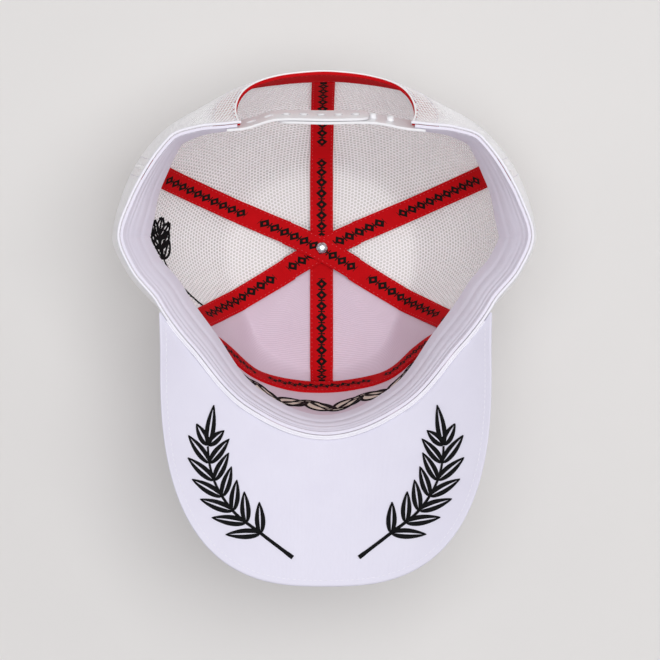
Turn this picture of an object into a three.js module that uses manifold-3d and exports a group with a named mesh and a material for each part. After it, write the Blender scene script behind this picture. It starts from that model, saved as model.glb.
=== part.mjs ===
import * as THREE from 'three';
import { mergeVertices } from 'three/addons/utils/BufferGeometryUtils.js';
import Module from 'manifold-3d';

const wasm = await Module();
wasm.setup();

// A trucker hat that lies on its crown, rim up, brim forward along -Y.
// Lengths are in millimetres and angles in degrees.

// Crown
const crownWidth = 223;
const frontReach = 104;
const backReach = 92.5;
const crownHeight = 125;
const crownWall = 1.5;
const seamGap = 0.3;
const dimpleRadius = 22;
const apexUp = 5;

// Seams between the panels, as bearings from the centre front
const frontSeam = 50.1;
const rearSeam = 116;

// Opening over the strap
const archCorner = 149.2;
const archHeight = 55;

// Brim
const brimWidth = 169;
const brimLength = 72;
const brimWall = 3.2;
const brimTilt = 12;
const brimCurl = 27;
const brimCorner = 65.5;
const brimEnd = 1.4;
const brimBevel = 0.9;

// Sweatband
const bandDepth = 30;
const bandLean = 13;
const bandWall = 1.4;
const bandEnd = 137.8;

// Seam tapes
const tapeWidth = 12.6;
const tapeWall = 0.8;
const tapeGap = 0.7;
const tapeCrossing = 0.45;
const tapeStart = 10;
const tapeButt = 1.2;

// Snap strap
const strapHeight = 20;
const strapWall = 1.4;
const strapLean = 17;
const strapTipRadius = 6;
const strapTail = 6.5;
const strapTuck = 1;
const strapTipMargin = 2.5;
const fastenedShift = -2.5;
const pegPitch = 8.85;
const pegRadius = 1.9;
const pegLength = 2.4;
const pegCount = 7;
const freePegs = 2;
const holeClearance = 0.35;

// Rivet inside and covered button outside, at the top of the crown
const rivetRadius = 3.1;
const rivetRise = 1.9;
const shankRadius = 1.5;
const buttonRadius = 7;
const floorClearance = 0.3;

// Embroidered sprigs under the brim
const leafWidth = 4.4;
const leafLength = 17.6;
const leafPitch = 9.13;
const leafPairs = 7;
const stemWidth = 1.5;
const threadRise = 0.9;
const threadGap = 0.35;

// Half of the crown's upper part, from the centre front round to the centre back.
// Rim and belly are shares of the crown's reach that way, and rimUp of its height.
const upperShape = [
  { bearing: 0, rim: 0.97, rimUp: 0.808, belly: 0.909 },
  { bearing: 23.5, rim: 0.905, rimUp: 0.832, belly: 0.85 },
  { bearing: 50.1, rim: 0.816, rimUp: 0.876, belly: 0.76 },
  { bearing: 68.7, rim: 0.833, rimUp: 0.916, belly: 0.856 },
  { bearing: 81.4, rim: 0.907, rimUp: 0.936, belly: 0.943 },
  { bearing: 92.4, rim: 0.955, rimUp: 0.948, belly: 1 },
  { bearing: 104.4, rim: 0.932, rimUp: 0.956, belly: 0.995 },
  { bearing: 116, rim: 0.921, rimUp: 0.968, belly: 0.998 },
  { bearing: 129.1, rim: 0.92, rimUp: 0.984, belly: 0.997 },
  { bearing: 137.4, rim: 0.866, rimUp: 0.992, belly: 0.984 },
  { bearing: 145.1, rim: 0.797, rimUp: 0.996, belly: 0.9735 },
  { bearing: 161.5, rim: 0.707, rimUp: 1, belly: 0.985 },
  { bearing: 180, rim: 0.67, rimUp: 1, belly: 1 },
];

// Its lower part in the same way
const lowerShape = [
  { bearing: 0, flank: 0.83, shoulder: 0.735, shoulderUp: 0.088, foot: 0.64 },
  { bearing: 23.5, flank: 0.79, shoulder: 0.715, shoulderUp: 0.096, foot: 0.61 },
  { bearing: 50.1, flank: 0.69, shoulder: 0.6, shoulderUp: 0.12, foot: 0.49 },
  { bearing: 68.7, flank: 0.77, shoulder: 0.62, shoulderUp: 0.112, foot: 0.45 },
  { bearing: 81.4, flank: 0.84, shoulder: 0.64, shoulderUp: 0.104, foot: 0.43 },
  { bearing: 92.4, flank: 0.875, shoulder: 0.65, shoulderUp: 0.096, foot: 0.42 },
  { bearing: 116, flank: 0.88, shoulder: 0.655, shoulderUp: 0.096, foot: 0.42 },
  { bearing: 145.1, flank: 0.88, shoulder: 0.66, shoulderUp: 0.112, foot: 0.42 },
  { bearing: 180, flank: 0.88, shoulder: 0.66, shoulderUp: 0.112, foot: 0.42 },
];
const bellyUp = 0.6;
const flankUp = 0.304;

// The seams swing round towards the back on their way up from the rim: degrees at each seam
const seamSwings = [
  { bearing: 0, swing: 0 },
  { bearing: frontSeam, swing: 6.6 },
  { bearing: rearSeam, swing: 1.7 },
  { bearing: 180, swing: 0 },
];
const swingStartRing = 0;
const swingEndRing = 2;

// Rings of the crown in order: rim, belly, flank, shoulder, foot, dimple edge and eye of the rivet
const bellyRing = 1;
const flankRing = 2;
const shoulderRing = 3;
const footRing = 4;
const frontSeamCrest = 2.85;
const dimpleRing = 5;
const eyeRing = 6;
const rowsPerRing = [3, 2, 3, 5, 2, 3];
const frontRows = 9;

// Columns of facets round half of the crown
const frontColumns = 8;
const sideColumns = 8;
const cornerColumns = 7;
const archColumns = 5;

// Lengthwise creases of the sweatband: shares of its depth, of its lean and of its wall
const bandRows = [
  { deep: 0, lean: 0, crease: 0 },
  { deep: 0.24, lean: 0.27, crease: 0.45 },
  { deep: 0.36, lean: 0.42, crease: 0 },
  { deep: 0.56, lean: 0.62, crease: 0.5 },
  { deep: 0.7, lean: 0.76, crease: 0 },
  { deep: 1, lean: 1, crease: 0 },
];

// How far the band leans in round half of the rim, as shares of its lean
const bandLeans = [
  { bearing: 0, share: 0.63 },
  { bearing: 30, share: 0.74 },
  { bearing: 60, share: 1 },
  { bearing: 95, share: 1 },
  { bearing: rearSeam, share: 0.57 },
  { bearing: bandEnd, share: 0.35 },
];

// Stem of a sprig: shares of half the brim's width, and of its length forward of the crown
const stemPoints = [
  { across: 0.2, forward: 0.794 },
  { across: 0.393, forward: 0.621 },
  { across: 0.56, forward: 0.461 },
  { across: 0.675, forward: 0.242 },
  { across: 0.712, forward: -0.003 },
  { across: 0.678, forward: -0.285 },
];

const colours = {
  cloth: 0xdddbe6,
  net: 0xe4dce2,
  sweatband: 0xd7d0e1,
  tape: 0xc8141c,
  thread: 0x0c0c0e,
  strap: 0xe2e1e6,
  metal: 0xc9ccd0,
};

const radians = THREE.MathUtils.degToRad;
const halfWidth = crownWidth / 2;
const eyeRadius = shankRadius + seamGap;
const rimFrontUp = upperShape[0].rimUp * crownHeight;
const tapeStep = tapeWall + tapeCrossing;

// Smooth curve without overshoot through values given at rising stops
function secant(stops, values, index) {
  return (values[index + 1] - values[index]) / (stops[index + 1] - stops[index]);
}

function slopeAt(stops, values, index, flatEnds) {
  const last = stops.length - 1;
  if (index === 0 || index === last) {
    return flatEnds ? 0 : secant(stops, values, Math.min(index, last - 1));
  }
  const before = secant(stops, values, index - 1);
  const after = secant(stops, values, index);
  return before * after <= 0 ? 0 : (2 * before * after) / (before + after);
}

function smoothValue(stops, values, at, flatEnds) {
  let index = 0;
  while (index < stops.length - 2 && at > stops[index + 1]) {
    index += 1;
  }
  const step = stops[index + 1] - stops[index];
  const t = (at - stops[index]) / step;
  const startSlope = slopeAt(stops, values, index, flatEnds) * step;
  const endSlope = slopeAt(stops, values, index + 1, flatEnds) * step;
  const rise = values[index + 1] - values[index];
  const bend = 3 * rise - 2 * startSlope - endSlope;
  const twist = startSlope + endSlope - 2 * rise;
  return values[index] + t * (startSlope + t * (bend + t * twist));
}

function smoothStep(from, to, at) {
  const t = THREE.MathUtils.clamp((at - from) / (to - from), 0, 1);
  return t * t * (3 - 2 * t);
}

// Finds where a rising function reaches a value
function whereReaches(value, low, high, measure) {
  let start = low;
  let end = high;
  for (let halving = 0; halving < 30; halving += 1) {
    const middle = (start + end) / 2;
    if (measure(middle) < value) {
      start = middle;
    } else {
      end = middle;
    }
  }
  return (start + end) / 2;
}

// Crown surface

function wrapBearing(bearing) {
  return bearing > 180 ? bearing - 360 : bearing;
}

function shareAt(table, name, bearing) {
  const stops = table.map((row) => row.bearing);
  const values = table.map((row) => row[name]);
  return smoothValue(stops, values, Math.abs(bearing), true);
}

function ovalPoint(bearing) {
  const reach = Math.abs(bearing) > 90 ? backReach : frontReach;
  return new THREE.Vector2(
    halfWidth * Math.sin(radians(bearing)),
    -reach * Math.cos(radians(bearing)),
  );
}

const profiles = new Map();

function profileAt(bearing) {
  if (!profiles.has(bearing)) {
    const oval = ovalPoint(bearing);
    const reach = oval.length();
    const outs = [
      shareAt(upperShape, 'rim', bearing) * reach,
      shareAt(upperShape, 'belly', bearing) * reach,
      shareAt(lowerShape, 'flank', bearing) * reach,
      shareAt(lowerShape, 'shoulder', bearing) * reach,
      shareAt(lowerShape, 'foot', bearing) * reach,
      dimpleRadius,
      eyeRadius,
    ];
    const ups = [
      shareAt(upperShape, 'rimUp', bearing) * crownHeight,
      bellyUp * crownHeight,
      flankUp * crownHeight,
      shareAt(lowerShape, 'shoulderUp', bearing) * crownHeight,
      0,
      0,
      apexUp,
    ];
    const stops = [0];
    for (let index = 1; index < outs.length; index += 1) {
      const step = Math.hypot(outs[index] - outs[index - 1], ups[index] - ups[index - 1]);
      stops.push(stops[index - 1] + step);
    }
    profiles.set(bearing, { heading: oval.normalize(), outs, ups, stops });
  }
  return profiles.get(bearing);
}

function swungBearing(bearing, ring) {
  const stops = seamSwings.map((row) => row.bearing);
  const swings = seamSwings.map((row) => row.swing);
  const swing = smoothValue(stops, swings, Math.abs(bearing), false);
  return bearing + Math.sign(bearing) * swing * smoothStep(swingStartRing, swingEndRing, ring);
}

function crownPoint(anyBearing, ring) {
  const profile = profileAt(swungBearing(wrapBearing(anyBearing), ring));
  const index = THREE.MathUtils.clamp(Math.floor(ring), 0, eyeRing - 1);
  const { stops, outs, ups, heading } = profile;
  const at = stops[index] + (ring - index) * (stops[index + 1] - stops[index]);
  const out = smoothValue(stops, outs, at, false);
  const up = smoothValue(stops, ups, at, false);
  return new THREE.Vector3(heading.x * out, heading.y * out, up);
}

// Change of the surface for each degree of bearing and for each ring
function crownSlopes(bearing, ring) {
  const probe = 0.02;
  const low = Math.max(ring - probe, 0);
  const high = Math.min(ring + probe, eyeRing);
  const perDegree = crownPoint(bearing + probe, ring).sub(crownPoint(bearing - probe, ring));
  const perRing = crownPoint(bearing, high).sub(crownPoint(bearing, low));
  return {
    perDegree: perDegree.divideScalar(2 * probe),
    perRing: perRing.divideScalar(high - low),
  };
}

function outwardAt(bearing, ring) {
  const { perDegree, perRing } = crownSlopes(bearing, ring);
  return perRing.cross(perDegree).normalize();
}

// Point inside the crown's outer surface by a depth, or outside it by a negative one
function wallPoint(bearing, ring, depth) {
  return crownPoint(bearing, ring).addScaledVector(outwardAt(bearing, ring), -depth);
}

function degreesFor(distance, bearing, ring) {
  return distance / crownSlopes(bearing, ring).perDegree.length();
}

function ringsFor(distance, bearing, ring) {
  return distance / crownSlopes(bearing, ring).perRing.length();
}

// Place on the crown that lies a vector away from another, found in short steps
function walkOn(bearing, ring, vector) {
  const steps = 4;
  const place = { bearing, ring };
  for (let step = 0; step < steps; step += 1) {
    const { perDegree, perRing } = crownSlopes(place.bearing, place.ring);
    const dd = perDegree.dot(perDegree);
    const rr = perRing.dot(perRing);
    const dr = perDegree.dot(perRing);
    const alongDegree = perDegree.dot(vector) / steps;
    const alongRing = perRing.dot(vector) / steps;
    const spread = dd * rr - dr * dr;
    place.bearing += (alongDegree * rr - alongRing * dr) / spread;
    place.ring += (alongRing * dd - alongDegree * dr) / spread;
    place.ring = THREE.MathUtils.clamp(place.ring, 0, eyeRing);
  }
  return place;
}

const archTopRing = whereReaches(archHeight, 0, shoulderRing, (ring) => (
  crownHeight - crownPoint(180, ring).z
));

// Ring of the arched seam between the front panel and the two top panels
function frontSeamRing(bearing) {
  const quarter = Math.min(Math.abs(bearing) / frontSeam, 1) * 90;
  return bellyRing + (frontSeamCrest - bellyRing) * Math.cos(radians(quarter));
}

// Ring of the crown's edge: the rim, or the arch over the strap
function edgeRing(bearing) {
  const fromBack = Math.abs(180 - Math.abs(bearing)) / (180 - archCorner);
  return fromBack >= 1 ? 0 : archTopRing * Math.sqrt(1 - fromBack * fromBack);
}

function evenSteps(from, to, count) {
  return Array.from({ length: count + 1 }, (unused, index) => from + ((to - from) * index) / count);
}

const crownRows = rowsPerRing.flatMap((count, ring) => (
  evenSteps(ring, ring + 1, count).slice(ring === 0 ? 0 : 1)
));
const topPanelRows = crownRows.filter((ring) => ring >= bellyRing);
const frontBearings = evenSteps(0, frontSeam, frontColumns);
const sideBearings = evenSteps(frontSeam, rearSeam, sideColumns);
const cornerBearings = evenSteps(rearSeam, archCorner, cornerColumns);
const archBearings = evenSteps(0, 90, archColumns).map((angle) => (
  180 - (180 - archCorner) * Math.cos(radians(angle))
));
const backBearings = [...cornerBearings, ...archBearings.slice(1)];

// Closed wall between two grids of points, whose rows and columns turn towards the first grid's side
function wallBetween(outer, inner) {
  const rows = outer.length;
  const columns = outer[0].length;
  const points = [...outer.flat(), ...inner.flat()];
  const at = (row, index) => row * columns + index;
  const under = rows * columns;
  const faces = [];
  const addFace = (a, b, c, d) => faces.push(a, b, c, a, c, d);
  for (let row = 0; row < rows - 1; row += 1) {
    for (let index = 0; index < columns - 1; index += 1) {
      const a = at(row, index);
      const b = at(row + 1, index);
      const c = at(row + 1, index + 1);
      const d = at(row, index + 1);
      addFace(a, b, c, d);
      addFace(d + under, c + under, b + under, a + under);
    }
  }
  const border = [];
  for (let row = 0; row < rows; row += 1) {
    border.push(at(row, 0));
  }
  for (let index = 1; index < columns; index += 1) {
    border.push(at(rows - 1, index));
  }
  for (let row = rows - 2; row >= 0; row -= 1) {
    border.push(at(row, columns - 1));
  }
  for (let index = columns - 2; index > 0; index -= 1) {
    border.push(at(0, index));
  }
  border.forEach((here, index) => {
    const next = border[(index + 1) % border.length];
    addFace(next, here, here + under, next + under);
  });
  const geometry = new THREE.BufferGeometry();
  geometry.setFromPoints(points);
  geometry.setIndex(faces);
  return geometry;
}

function mirrored(geometry) {
  const copy = geometry.clone();
  copy.scale(-1, 1, 1);
  const flipped = [];
  for (let index = 0; index < copy.index.count; index += 3) {
    flipped.push(copy.index.getX(index), copy.index.getX(index + 2), copy.index.getX(index + 1));
  }
  copy.setIndex(flipped);
  return copy;
}

// Solids that are joined or cut

function toSolid(geometry) {
  const bare = geometry.clone();
  bare.deleteAttribute('normal');
  bare.deleteAttribute('uv');
  const merged = mergeVertices(bare);
  return new wasm.Manifold(new wasm.Mesh({
    numProp: 3,
    vertProperties: merged.attributes.position.array,
    triVerts: Uint32Array.from(merged.index.array),
  }));
}

function toGeometry(solid) {
  const mesh = solid.getMesh();
  const geometry = new THREE.BufferGeometry();
  geometry.setAttribute('position', new THREE.BufferAttribute(mesh.vertProperties, 3));
  geometry.setIndex(new THREE.BufferAttribute(mesh.triVerts, 1));
  return geometry;
}

// Crown panels

// Wall over a range of bearings, kept half a seam gap clear of the panel on each side
function crownPanel(columns, rows, ringOf) {
  const from = columns[0];
  const to = columns[columns.length - 1];
  const gridAt = (depth) => rows.map((row) => columns.map((bearing) => {
    const ring = ringOf(bearing, row);
    const left = degreesFor(seamGap / 2, from, ring);
    const right = degreesFor(seamGap / 2, to, ring);
    const share = (bearing - from) / (to - from);
    return wallPoint(from + left + share * (to - from - left - right), ring, depth);
  }));
  return wallBetween(gridAt(0), gridAt(crownWall));
}

function frontPanel() {
  const columns = [...frontBearings.slice(1).reverse().map((bearing) => -bearing), ...frontBearings];
  const rows = evenSteps(0, 1, frontRows);
  return crownPanel(columns, rows, (bearing, row) => {
    const seam = frontSeamRing(bearing);
    return row * (seam - ringsFor(seamGap / 2, bearing, seam));
  });
}

// Ring of a row that starts at an edge and has caught up with the even rows by a later ring
function caughtUp(row, firstRow, edge, evenRing) {
  return row >= evenRing ? row : edge + ((row - firstRow) / (evenRing - firstRow)) * (evenRing - edge);
}

function topPanel() {
  return crownPanel(frontBearings, topPanelRows, (bearing, row) => {
    const seam = frontSeamRing(bearing);
    const start = seam + ringsFor(seamGap / 2, bearing, seam);
    return caughtUp(row, bellyRing, start, footRing);
  });
}

function sideMesh() {
  return crownPanel(sideBearings, crownRows, (bearing, row) => row);
}

function backMesh() {
  return crownPanel(backBearings, crownRows, (bearing, row) => (
    caughtUp(row, 0, edgeRing(bearing), flankRing)
  ));
}

// Brim

function brimUp(x, y) {
  const forward = -y - frontReach;
  const across = x / (brimWidth / 2);
  return rimFrontUp + Math.tan(radians(brimTilt)) * forward + brimCurl * across * across;
}

// Edge of the brim in plan: an almost elliptic front, then straight to the corner at the crown
function brimEdge(share) {
  const squareness = 2.7;
  const roundShare = 0.84;
  const straightBack = 0.53;
  const corner = wallPoint(brimCorner, 0, -brimEnd);
  const side = new THREE.Vector2(brimWidth / 2, -straightBack * frontReach);
  const reach = frontReach + brimLength + side.y;
  if (share > roundShare) {
    const along = (share - roundShare) / (1 - roundShare);
    return side.lerp(new THREE.Vector2(corner.x, corner.y), along);
  }
  const angle = radians((90 * share) / roundShare);
  return new THREE.Vector2(
    side.x * Math.sin(angle) ** (2 / squareness),
    side.y - reach * Math.cos(angle) ** (2 / squareness),
  );
}

function brimPiece() {
  const halfColumns = 18;
  const rowShares = [0, 0.3, 0.62, 0.95, 1];
  const shares = evenSteps(-1, 1, 2 * halfColumns);
  const gridAt = (under) => rowShares.map((row) => shares.map((share) => {
    const bearing = share * brimCorner;
    const depth = under ? brimWall : 0;
    const root = wallPoint(bearing, ringsFor(depth, bearing, 0), -seamGap);
    const edge = brimEdge(Math.abs(share));
    edge.x *= Math.sign(share);
    const place = new THREE.Vector2(root.x, root.y).lerp(edge, row);
    const bevel = row === 1 ? brimBevel : 0;
    const up = brimUp(place.x, place.y) + (under ? bevel - brimWall : -bevel);
    return new THREE.Vector3(place.x, place.y, up);
  }));
  return wallBetween(gridAt(false), gridAt(true));
}

// Sweatband

function rimInward(bearing) {
  const along = crownSlopes(bearing, 0).perDegree;
  return new THREE.Vector3(-along.y, along.x, 0).normalize();
}

function bandPiece() {
  const half = [...frontBearings, ...sideBearings.slice(1), ...cornerBearings.slice(1)]
    .filter((bearing) => bearing < bandEnd);
  half.push(bandEnd);
  const columns = [...half.slice(1).reverse().map((bearing) => -bearing), ...half];
  const gridAt = (wall) => bandRows.map((row) => columns.map((bearing) => {
    const crease = row.crease * bandWall;
    const lean = shareAt(bandLeans, 'share', bearing) * bandLean;
    const inset = crownWall + seamGap + row.lean * lean + crease + wall;
    const point = crownPoint(bearing, 0).addScaledVector(rimInward(bearing), inset);
    point.z -= row.deep * bandDepth;
    return point;
  }));
  return wallBetween(gridAt(0), gridAt(bandWall));
}

// Tapes

// Tape depths under the crown's outer surface, nearer the wall first
function tapeDepths(lift) {
  const near = crownWall + tapeGap + lift;
  return [near, near + tapeWall];
}

// Crossing tapes lie one over another near the rivet and come down to the wall away from it
function crossingLift(level, radius) {
  const stackedRadius = 16;
  const looseRadius = 30;
  return (level * tapeStep + seamGap) * (1 - smoothStep(stackedRadius, looseRadius, radius));
}

function meridianRow(bearing, ring, level, side) {
  const turn = degreesFor(tapeWidth / 2, bearing, ring);
  return [-1, 0, 1].map((edge) => {
    const at = bearing + edge * side * turn;
    const point = crownPoint(at, ring);
    const lift = crossingLift(level, Math.hypot(point.x, point.y));
    return tapeDepths(lift).map((depth) => wallPoint(at, ring, depth));
  });
}

function dimpleUp(x, y) {
  const bearing = THREE.MathUtils.radToDeg(Math.atan2(x, -y));
  const radius = Math.hypot(x, y);
  const ring = whereReaches(-radius, dimpleRing - 1, eyeRing, (at) => {
    const point = crownPoint(bearing, at);
    return -Math.hypot(point.x, point.y);
  });
  return crownPoint(bearing, ring).z;
}

function dimpleRows(from, to, level) {
  const start = crownPoint(from, dimpleRing);
  const end = crownPoint(to, dimpleRing);
  const path = new THREE.QuadraticBezierCurve(
    new THREE.Vector2(start.x, start.y),
    new THREE.Vector2(0, 0),
    new THREE.Vector2(end.x, end.y),
  );
  const shares = evenSteps(0, 1, 8).slice(1, -1);
  return shares.map((share) => {
    const centre = path.getPoint(share);
    const heading = path.getTangent(share);
    return [-1, 0, 1].map((edge) => {
      const x = centre.x + (edge * heading.y * tapeWidth) / 2;
      const y = centre.y - (edge * heading.x * tapeWidth) / 2;
      const lift = crossingLift(level, Math.hypot(x, y));
      return tapeDepths(lift).map((depth) => new THREE.Vector3(x, y, dimpleUp(x, y) + depth));
    });
  });
}

// Tape along one seam to the top of the crown and on along another
function crossingTape({ from, fromRing, to, toRing, level }) {
  const ringsIn = (start) => [start, ...crownRows.filter((ring) => ring > start && ring <= dimpleRing)];
  const rows = [
    ...ringsIn(fromRing).map((ring) => meridianRow(from, ring, level, 1)),
    ...dimpleRows(from, to, level),
    ...ringsIn(toRing).reverse().map((ring) => meridianRow(to, ring, level, -1)),
  ];
  const layer = (index) => rows.map((row) => row.map((pair) => pair[index]));
  const tape = toSolid(wallBetween(layer(0), layer(1)));
  const hole = new THREE.CylinderGeometry(eyeRadius, eyeRadius, crownHeight, 16);
  hole.rotateX(radians(90));
  return toGeometry(tape.subtract(toSolid(hole)));
}

// Tape that follows a path of places on the crown, between two distances to its right
function pathTape(places, leftSide, rightSide, limit) {
  const across = [leftSide, (leftSide + rightSide) / 2, rightSide];
  const layers = tapeDepths(0).map((depth) => places.map((place, index) => {
    const before = places[Math.max(index - 1, 0)];
    const after = places[Math.min(index + 1, places.length - 1)];
    const heading = crownPoint(after.bearing, after.ring).sub(crownPoint(before.bearing, before.ring));
    const right = outwardAt(place.bearing, place.ring).cross(heading).normalize();
    return across.map((distance) => {
      const aside = walkOn(place.bearing, place.ring, right.clone().multiplyScalar(distance));
      return wallPoint(limit(aside), aside.ring, depth);
    });
  }));
  return wallBetween(layers[0], layers[1]);
}

function frontSeamTape() {
  const stations = 20;
  const places = evenSteps(-1, 1, stations).map((share) => {
    const bearing = share * frontSeam;
    return { bearing, ring: frontSeamRing(bearing) };
  });
  return pathTape(places, -tapeWidth / 2, tapeWidth / 2, (aside) => {
    const clear = degreesFor(tapeWidth / 2 + seamGap, frontSeam, aside.ring);
    return THREE.MathUtils.clamp(aside.bearing, clear - frontSeam, frontSeam - clear);
  });
}

function archBinding() {
  const stations = 18;
  const places = evenSteps(0, 180, stations).map((angle) => ({
    bearing: 180 - (180 - archCorner) * Math.cos(radians(angle)),
    ring: archTopRing * Math.sin(radians(angle)),
  }));
  return pathTape(places, -tapeWidth, 0, (aside) => aside.bearing);
}

// Snap strap

function rimBack(x) {
  const bearing = whereReaches(-Math.abs(x), rearSeam, 180, (at) => -crownPoint(at, 0).x);
  return crownPoint(bearing, 0).y;
}

const strapCorner = crownPoint(archCorner, 0).x;
const fastenedPegs = pegCount - freePegs;
const firstPeg = fastenedShift - ((fastenedPegs - 1) / 2) * pegPitch;
const pegStrapTip = firstPeg - pegRadius - strapTipMargin;
const holeStrapTip = firstPeg + fastenedPegs * pegPitch - pegRadius - holeClearance;

// Point on a strap: outer face across the opening, then tucked inside the crown
function strapPoint(x, layer, along, out) {
  const lean = radians(strapLean);
  const tucked = smoothStep(Math.abs(pegStrapTip), strapCorner, Math.abs(x));
  const back = rimBack(x) - tucked * (crownWall + tapeGap + tapeWall + strapTuck);
  const layerOut = out - (1 - tucked) * layer * (strapWall + seamGap);
  return new THREE.Vector3(
    x,
    back + along * Math.sin(lean) + layerOut * Math.cos(lean),
    crownHeight - along * Math.cos(lean) + layerOut * Math.sin(lean),
  );
}

// Strap from its rounded tip to its tail on the right, or on the left if mirrored
function strapSolid(tip, layer) {
  const tipStations = 4;
  const bodyStations = 12;
  const tail = strapCorner + strapTail;
  const rounding = evenSteps(0, 90, tipStations).map((angle) => (
    tip + strapTipRadius * (1 - Math.cos(radians(angle)))
  ));
  const body = evenSteps(tip + strapTipRadius, tail, bodyStations).slice(1);
  const stations = [...rounding, ...body];
  const gridAt = (out) => [0, 1].map((share) => stations.map((x) => {
    const short = Math.max(strapTipRadius - (x - tip), 0);
    const inset = strapTipRadius - Math.sqrt(strapTipRadius ** 2 - short ** 2);
    const along = inset + share * (strapHeight - 2 * inset);
    return strapPoint(x, layer, along, out);
  }));
  return toSolid(wallBetween(gridAt(-strapWall), gridAt(0)));
}

// Peg or hole through the strap's wall, across its middle
function strapPin(x, layer, radius, from, to) {
  const pin = new THREE.CylinderGeometry(radius, radius, to - from, 8);
  pin.rotateX(radians(strapLean));
  const centre = strapPoint(x, layer, strapHeight / 2, (from + to) / 2);
  pin.translate(centre.x, centre.y, centre.z);
  return toSolid(pin);
}

function strapWithPegs() {
  let strap = strapSolid(pegStrapTip, 1);
  for (let peg = 0; peg < pegCount; peg += 1) {
    const x = firstPeg + peg * pegPitch;
    strap = strap.add(strapPin(x, 1, pegRadius, -strapWall / 2, pegLength));
  }
  return toGeometry(strap);
}

function strapWithHoles() {
  let strap = toSolid(mirrored(toGeometry(strapSolid(-holeStrapTip, 0))));
  for (let hole = -freePegs; hole < fastenedPegs; hole += 1) {
    const x = firstPeg + hole * pegPitch;
    strap = strap.subtract(strapPin(x, 0, pegRadius + holeClearance, -2 * strapWall, strapWall));
  }
  return toGeometry(strap);
}

// Rivet and button

function turned(profile) {
  const points = profile.map(([out, up]) => new THREE.Vector2(out, up));
  const geometry = new THREE.LatheGeometry(points, 12);
  geometry.rotateX(radians(90));
  return geometry;
}

const buttonTop = apexUp - seamGap;

function rivetPiece() {
  const base = apexUp + crownWall + tapeGap + seamGap + 3 * tapeStep;
  const dome = evenSteps(0, 90, 4).map((angle) => [
    rivetRadius * Math.cos(radians(angle)),
    base + rivetRise * Math.sin(radians(angle)),
  ]);
  return turned([[0, buttonTop + seamGap], [shankRadius, buttonTop + seamGap], [shankRadius, base], ...dome]);
}

function buttonPiece() {
  const edgeUp = dimpleUp(buttonRadius, 0) - seamGap;
  const dome = evenSteps(0, 90, 6).map((angle) => [
    buttonRadius * Math.sin(radians(angle)),
    edgeUp - (edgeUp - floorClearance) * Math.cos(radians(angle)),
  ]);
  return turned([...dome, [shankRadius, buttonTop - seamGap], [0, buttonTop - seamGap]]);
}

// Sprigs

// Thread laid on the brim along a path of {x, y, width}
function threadStrip(path) {
  const headings = path.map((here, index) => {
    const before = path[Math.max(index - 1, 0)];
    const after = path[Math.min(index + 1, path.length - 1)];
    return new THREE.Vector2(after.x - before.x, after.y - before.y).normalize();
  });
  const gridAt = (rise) => path.map((here, index) => [1, -1].map((edge) => {
    const x = here.x - (edge * headings[index].y * here.width) / 2;
    const y = here.y + (edge * headings[index].x * here.width) / 2;
    return new THREE.Vector3(x, y, brimUp(x, y) + threadGap + rise);
  }));
  return toSolid(wallBetween(gridAt(0), gridAt(threadRise)));
}

function leafAt(base, angle, length) {
  const tipWidth = 0.3;
  return threadStrip(evenSteps(0, 1, 4).map((share) => ({
    x: base.x + share * length * Math.cos(angle),
    y: base.y + share * length * Math.sin(angle),
    width: tipWidth + leafWidth * Math.sin(Math.PI * share) ** 0.8,
  })));
}

function laurelSprig() {
  const outerTurn = 27;
  const innerTurn = -49;
  const innerShare = 0.88;
  const points = stemPoints.map(({ across, forward }) => (
    new THREE.Vector3((-across * brimWidth) / 2, -frontReach - forward * brimLength, 0)
  ));
  const stem = new THREE.CatmullRomCurve3(points);
  const total = stem.getLength();
  const root = (total - (leafPairs - 1) * leafPitch) / 2;
  const flat = (share) => {
    const point = stem.getPointAt(THREE.MathUtils.clamp(share, 0, 1));
    return new THREE.Vector2(point.x, point.y);
  };
  const angleAt = (share) => {
    const tangent = stem.getTangentAt(share);
    return Math.atan2(tangent.y, tangent.x);
  };
  const stemSteps = evenSteps(0, (total - root) / total, 9);
  const pieces = [threadStrip(stemSteps.map((share) => {
    const point = flat(share);
    return { x: point.x, y: point.y, width: stemWidth };
  }))];
  for (let pair = 0; pair < leafPairs; pair += 1) {
    const share = (root + pair * leafPitch) / total;
    const shorter = pair === leafPairs - 1 ? 0.7 : 1;
    const base = flat(share);
    const angle = angleAt(share);
    pieces.push(leafAt(base, angle + radians(outerTurn), leafLength * shorter));
    pieces.push(leafAt(base, angle + radians(innerTurn), leafLength * innerShare * shorter));
  }
  const last = flat((total - root) / total);
  const tip = flat(1).sub(last);
  pieces.push(leafAt(last, tip.angle(), tip.length()));
  return toGeometry(pieces.reduce((whole, piece) => whole.add(piece)));
}

// Materials, one for each mesh

function fabric(colour) {
  return new THREE.MeshStandardMaterial({ color: colour, roughness: 0.9, metalness: 0 });
}

function plastic(colour) {
  return new THREE.MeshStandardMaterial({ color: colour, roughness: 0.35, metalness: 0 });
}

function metal(colour) {
  return new THREE.MeshStandardMaterial({ color: colour, roughness: 0.25, metalness: 1 });
}

const hat = new THREE.Group();

function addPiece(name, geometry, material) {
  const mesh = new THREE.Mesh(geometry, material);
  mesh.name = name;
  hat.add(mesh);
}

function addPair(name, rightGeometry, colour) {
  addPiece(`${name}_right`, rightGeometry, fabric(colour));
  addPiece(`${name}_left`, mirrored(rightGeometry), fabric(colour));
}

const rimTapeRing = (bearing) => ringsFor(tapeStart, bearing, 0);
const centreTapeStart = frontSeamCrest + ringsFor(tapeWidth / 2 + tapeButt, 0, shoulderRing);
const centreTapeEnd = archTopRing + ringsFor(tapeWidth + tapeButt, 180, archTopRing);

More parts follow.
